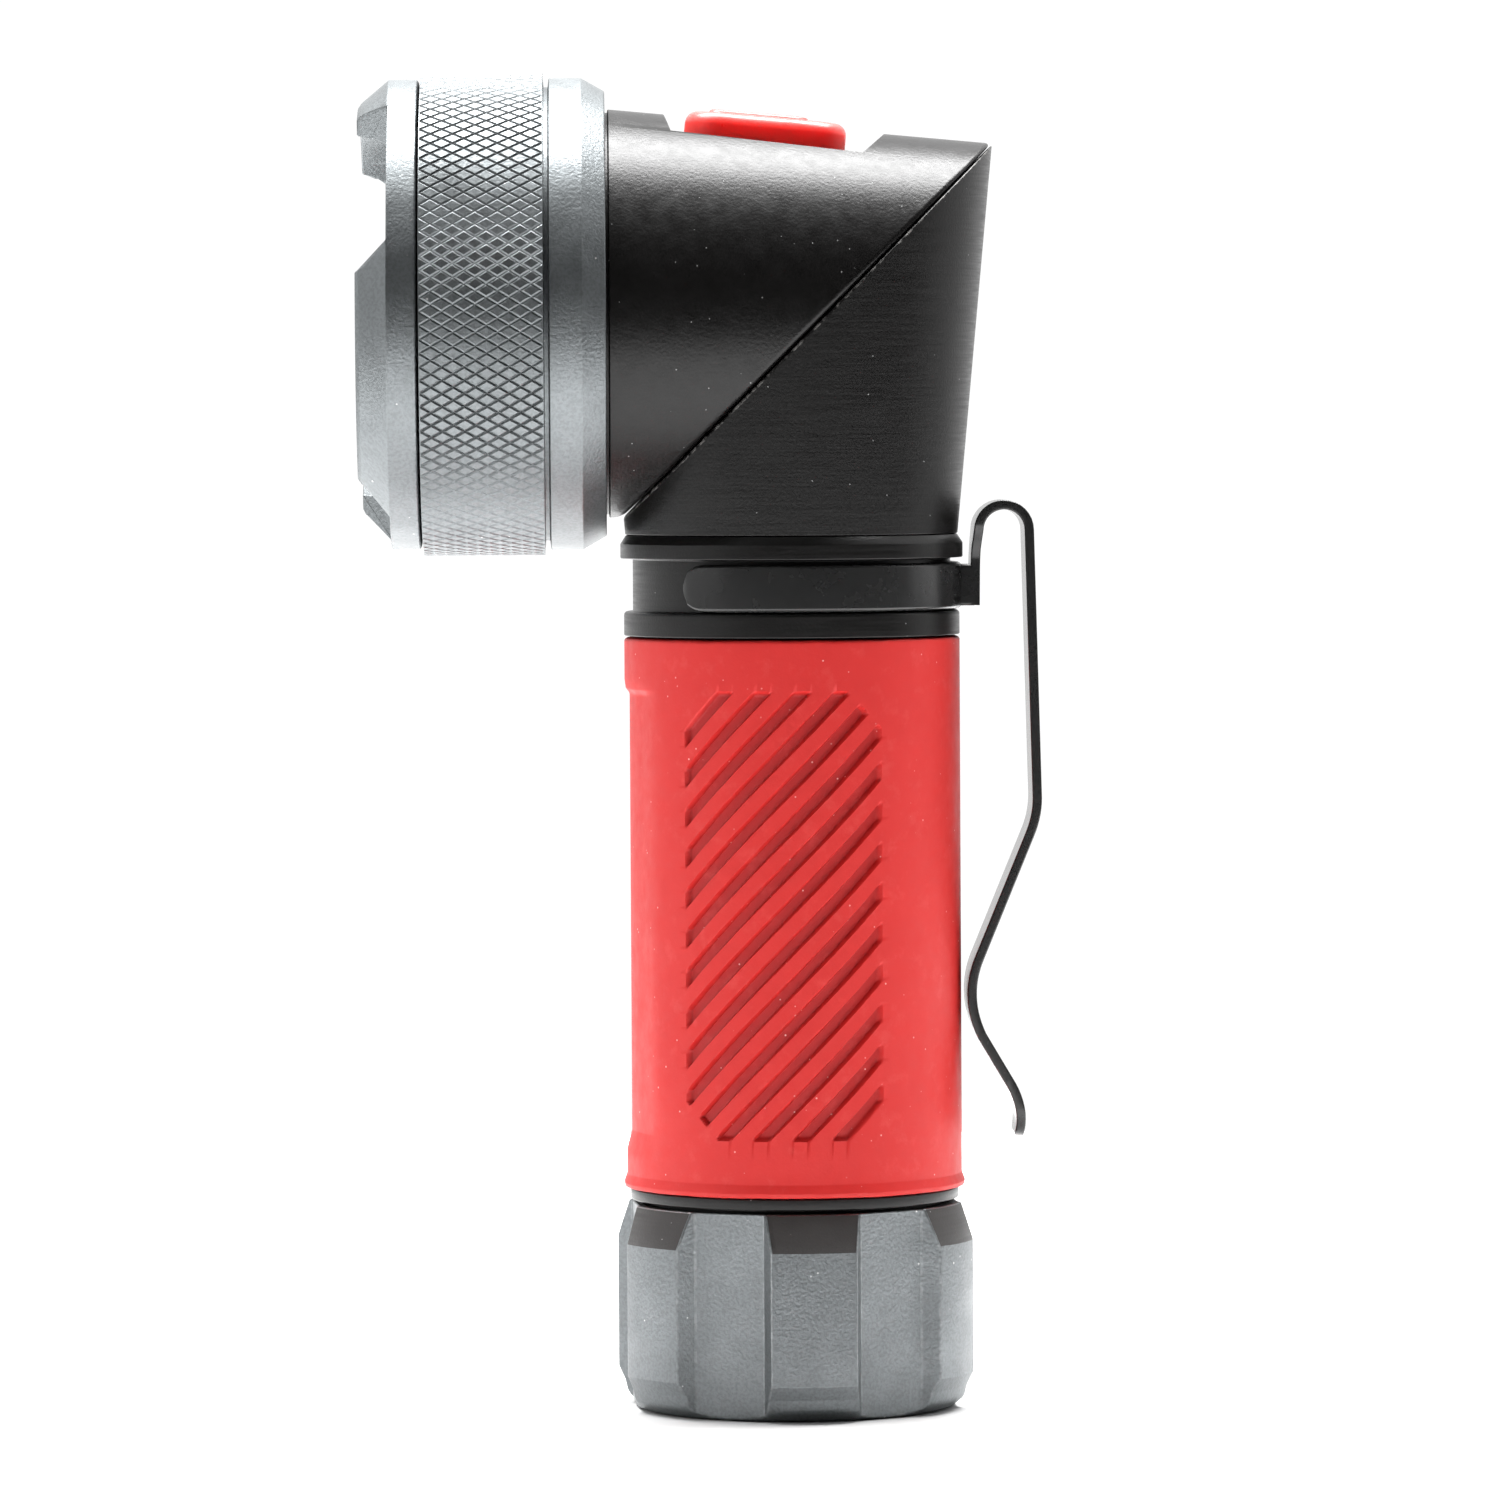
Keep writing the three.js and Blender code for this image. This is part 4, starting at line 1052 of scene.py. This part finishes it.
def knurl():
    """A band of flat-topped diamonds between two sets of crossing grooves, closed inwards."""
    low, high = KNURL_Z
    along = (high - low) / KNURL_ALONG
    across = math.pi / KNURL_AROUND
    inner = 20.5  # hidden in the sleeve
    points, faces, corners, loops_at = [], [], {}, {0: {}, KNURL_ALONG: {}}

    def point(p, q, depth):
        angle = q * across
        r = KNURL_R - depth
        points.append((r * math.cos(angle), r * math.sin(angle), low + p * along))
        return len(points) - 1

    def corner(p, q):
        key = (p, q % (2 * KNURL_AROUND))
        if key not in corners:
            corners[key] = point(p, q, KNURL_DEPTH)
            if p in loops_at:
                loops_at[p][key[1]] = corners[key]
        return corners[key]

    share = KNURL_TOP
    for p in range(KNURL_ALONG + 1):
        for q in range(2 * KNURL_AROUND):
            if (p + q) % 2:
                continue
            top = {}
            if p < KNURL_ALONG:
                top["E"] = point(p + share, q, 0)
            top["N"] = point(p, q + share, 0)
            if p > 0:
                top["W"] = point(p - share, q, 0)
            top["S"] = point(p, q - share, 0)
            around = {"E": (p + 1, q), "N": (p, q + 1), "W": (p - 1, q), "S": (p, q - 1)}
            if p in loops_at:
                loops_at[p][q - share] = top["S"]
                loops_at[p][q + share] = top["N"]
            faces.append(list(top.values()))
            for a, b in (("E", "N"), ("N", "W"), ("W", "S"), ("S", "E")):
                if a in top and b in top:
                    faces.append([top[a], corner(*around[a]), corner(*around[b]), top[b]])
    inner_loops = []
    for p in (0, KNURL_ALONG):
        keys = sorted(loops_at[p])
        outer_loop = [loops_at[p][k] for k in keys]
        inner_loop = []
        for k in keys:
            angle = k * across
            points.append((inner * math.cos(angle), inner * math.sin(angle), low + p * along))
            inner_loop.append(len(points) - 1)
        for k in range(len(keys)):
            n = (k + 1) % len(keys)
            faces.append([outer_loop[k], outer_loop[n], inner_loop[n], inner_loop[k]])
        inner_loops.append(inner_loop)
    first, last = inner_loops
    for k in range(len(first)):
        n = (k + 1) % len(first)
        faces.append([first[k], first[n], last[n], last[k]])
    return mesh_object("knurl", points, faces)


def sleeve():
    outline = [
        (18.2, 114.25, 0.15),
        (19.8, 114.25, 0.25),
        (21.0, 116.35, 0.3),
        (21.0, 119.2, 0.12),
        (20.2, 119.28, 0.03),
        (20.2, 119.66, 0.03),
        (20.85, 119.7, 0.03),
        (20.85, 130.6, 0.06),
        (16.9, 130.6, 0.1),
        (16.9, 125.0, 0.1),
        (13.6, 125.0, 0.1),
        (13.6, 124.0, 0.2),
        (18.2, 124.0, 0.1),
    ]
    shell = turned("focus_sleeve_shell", rounded(outline, 0.1))
    combine(shell, [knurl()], "UNION")
    smooth(shell, 26)
    finished(shell, "focus", [GREY_METAL], ["focus_sleeve"], HEAD)


def bezel():
    outline = [
        (13.3, 128.7, 0.1),
        (16.6, 128.7, 0.2),
        (16.6, 130.75, 0.05),
        (20.7, 130.75, 0.05),
        (20.9, 130.92, 0.08),
        (20.9, CRENEL_FLOOR, 0.2),
        (18.9, 135.8, 0.3),
        (18.4, BEZEL_TIP, 0.2),
        (17.0, BEZEL_TIP, 0.15),
        (17.0, 133.2, 0.1),
        (13.3, 133.2, 0.2),
    ]
    shell = turned("strike_bezel_shell", rounded(outline, 0.1), 192)
    cutters = []
    for i in range(CRENELS):
        middle = 90 - CRENEL_TURN - 360 / CRENELS * i
        corners = []
        mouth = (BEZEL_TIP + 0.6, CRENEL_MOUTH_HALF + 1)  # past the tip
        for z, half in ((CRENEL_FLOOR, CRENEL_FLOOR_HALF), mouth):
            for reach in (10, 26):
                for sign in (-1, 1):
                    a = math.radians(middle + sign * half)
                    corners.append((reach * math.cos(a), reach * math.sin(a), z))
        sides = [(0, 1, 3, 2), (4, 6, 7, 5), (0, 4, 5, 1), (2, 3, 7, 6), (0, 2, 6, 4), (1, 5, 7, 3)]
        cutters.append(mesh_object("crenel", corners, sides))
    combine(shell, cutters, merge=0.04)
    soften(shell, 0.1, 2, clamp=False)
    smooth(shell)
    finished(shell, "focus", [GREY_METAL, GREY_CHIPPED], ["strike_bezel"], HEAD)


sleeve()
bezel()

# ---------------------------------------------------------------- lens and light source


def lens():
    rim, dome, height = 2.0, 13.0, 5.3
    sphere = (dome**2 + height**2) / (2 * height)
    edge = [
        (0, LENS_Z),
        (15.8, LENS_Z, 0.2),
        (15.8, LENS_Z + rim, 0.15),
        (dome, LENS_Z + rim, 0),
    ]
    outline = [(0, LENS_Z)] + rounded(edge)[1:]
    widest = math.asin(dome / sphere)
    steps = 24
    for k in range(1, steps + 1):
        a = widest * (1 - k / steps)
        outline.append((sphere * math.sin(a), LENS_Z + rim + sphere * math.cos(a) - sphere + height))
    disc = turned("lens_glass", outline, 128)
    smooth(disc, 45)
    finished(disc, "focus", [LENS], ["lens"], HEAD)


def light_source():
    sink_outline = [
        (0, 118.0),
        (12.8, 118.0),
        (12.8, 115.4),
        (15.3, 115.4),
        (15.3, 121.3, 0.2),
        (0, 121.3),
    ]
    sink = turned("heat_sink_face", rounded(sink_outline))
    smooth(sink)
    finished(sink, "head", [SINK], ["heat_sink"], HEAD)
    star, star_r, star_points = [], 8.0, 96
    for k in range(star_points):
        a = 2 * math.pi * k / star_points
        off_bite = abs(((math.degrees(a) + 30) % 60) - 30) * math.pi / 180 * star_r
        reach = star_r - max(0.0, 1.1 - off_bite)
        star.append((reach * math.cos(a), reach * math.sin(a)))
    board = soften(prism("led_star_board", star, 121.5, 122.9), 0.1, 2)
    smooth(board)
    finished(board, "head", [WHITE_BOARD], ["led_board"], HEAD)
    base = soften(box("led_emitter_package", (-1.75, 1.75), (-1.75, 1.75), (123.05, 123.7)), 0.1, 2)
    dome = [(0, 123.5)] + [
        (1.5 * math.cos(math.pi / 2 * k / 12), 123.5 + 1.5 * math.sin(math.pi / 2 * k / 12))
        for k in range(13)
    ]
    dome[-1] = (0, 125.0)
    combine(base, [turned("dome", dome, 48)], "UNION")
    smooth(base, 45)
    finished(base, "head", [PHOSPHOR], ["led_emitter"], HEAD)


lens()
light_source()
gasket = smooth(ring("lens_gasket_ring", 14.0, 15.8, 127.45, 128.55, 0.3))
finished(gasket, "focus", [RUBBER], ["lens_gasket"], HEAD)
barrel_seal = smooth(seal("barrel_seal_ring", 17.62, 0.5, SEAL_Z), 80)
finished(barrel_seal, "head", [RUBBER], ["barrel_o_ring"], HEAD)

# ---------------------------------------------------------------- CAD nodes that stay

KEPT = {
    STEEL: ["tail_spring", "cell_spring_1", "cell_spring_2", "cell_spring_3", "contact_spring"]
    + ["swivel_stop_pin", "swivel_spindle", "spindle_circlip", "spring_washer", "tact_switch"],
    BRASS: ["tail_contact_plate", "carrier_rear_contact", "carrier_front_contact"],
    PLASTIC: ["battery_carrier", "switch_frame"],
    WRAP: ["aaa_cell_1", "aaa_cell_2", "aaa_cell_3"],
    BOARD: ["contact_board", "switch_board", "driver_board"],
    NYLON: ["swivel_washer"],
    RUBBER: ["swivel_o_ring"],
    LEAD_RED: ["handle_lead_positive", "head_lead_positive"],
    LEAD_BLACK: ["handle_lead_negative", "head_lead_negative"],
}
for look, nodes in KEPT.items():
    for node in nodes:
        materials = frame["nodes"][node].data.materials
        materials.clear()
        materials.append(look)

# ---------------------------------------------------------------- floor, light and camera


def floor():
    disc = turned("floor", [(0, -0.6), (300, -0.6), (300, -0.1), (0, -0.1)], 96)
    look = Look("floor_paper", roughness=0.7)
    shade = look.mix(look.noise(300, 2), (0.50, 0.50, 0.50, 1), (0.54, 0.54, 0.54, 1))
    look.set(Base_Color=shade, Emission_Color=shade, Emission_Strength=0.52)
    look.bump((look.noise(1.5, 3), 0.01))
    disc.data.materials.append(look.material)


def world():
    sky = bpy.data.worlds.new("studio")
    bpy.context.scene.world = sky
    sky.use_nodes = True
    tree = sky.node_tree
    tree.nodes.clear()

    def node(kind):
        return tree.nodes.new("ShaderNode" + kind)

    side = node("VectorMath")  # dark behind the camera, bright behind the object and to its left
    side.operation = "DOT_PRODUCT"
    side.inputs[1].default_value = (-0.35, 0.94, 0)
    tree.links.new(node("TexCoord").outputs["Generated"], side.inputs[0])
    share, ramp = node("MapRange"), node("ValToRGB")
    share.inputs["From Min"].default_value = -1.0
    tree.links.new(side.outputs["Value"], share.inputs["Value"])
    tree.links.new(share.outputs["Result"], ramp.inputs["Fac"])
    stops = [(0.0, 0.03), (0.15, 0.06), (0.325, 0.22), (0.5, 0.5), (0.675, 0.95), (1.0, 1.2)]
    while len(ramp.color_ramp.elements) < len(stops):
        ramp.color_ramp.elements.new(0.5)
    for element, (position, level) in zip(ramp.color_ramp.elements, stops):
        element.position, element.color = position, (level, level, level, 1)
    seen, shining = node("Background"), node("Background")
    seen.inputs["Color"].default_value = (1, 1, 1, 1)
    seen.inputs["Strength"].default_value = 1.05
    tree.links.new(ramp.outputs["Color"], shining.inputs["Color"])
    shining.inputs["Strength"].default_value = 1.0
    choice, out = node("MixShader"), node("OutputWorld")
    tree.links.new(node("LightPath").outputs["Is Camera Ray"], choice.inputs["Fac"])
    tree.links.new(shining.outputs[0], choice.inputs[1])
    tree.links.new(seen.outputs[0], choice.inputs[2])
    tree.links.new(choice.outputs[0], out.inputs["Surface"])


def lamp(name, place, aim, size, power):
    data = bpy.data.lights.new(name, "AREA")
    data.shape, data.size, data.size_y, data.energy = "RECTANGLE", size[0], size[1], power
    light = bpy.data.objects.new(name, data)
    bpy.context.scene.collection.objects.link(light)
    light.location = place
    light.rotation_mode = "QUATERNION"
    light.rotation_quaternion = (Vector(aim) - Vector(place)).to_track_quat("-Z", "Y")


def camera():
    aim = Vector((-3.8 * MM, 0, 58.7 * MM))
    place = Vector((-18.5 * MM, -780.0 * MM, 88.2 * MM))
    data = bpy.data.cameras.new("camera")
    data.lens, data.sensor_width = 209.4, 36.0
    data.clip_start, data.clip_end = 0.01, 20
    eye = bpy.data.objects.new("camera", data)
    bpy.context.scene.collection.objects.link(eye)
    eye.location = place
    eye.rotation_mode = "QUATERNION"
    roll = Matrix.Rotation(math.radians(-0.31), 3, "Z").to_quaternion()
    eye.rotation_quaternion = (aim - place).to_track_quat("-Z", "Y") @ roll
    bpy.context.scene.camera = eye


floor()
world()
lamp("top_softbox", (-0.02, 0.20, 0.95), (0, 0, 0.08), (1.1, 0.5), 40)
lamp("left_softbox", (-0.85, -0.45, 0.45), (0, 0, 0.07), (0.5, 0.9), 0.7)
lamp("right_softbox", (0.95, 0.15, 0.45), (0, 0, 0.07), (0.5, 0.9), 1.0)
camera()
bpy.context.scene.view_settings.view_transform = "Standard"
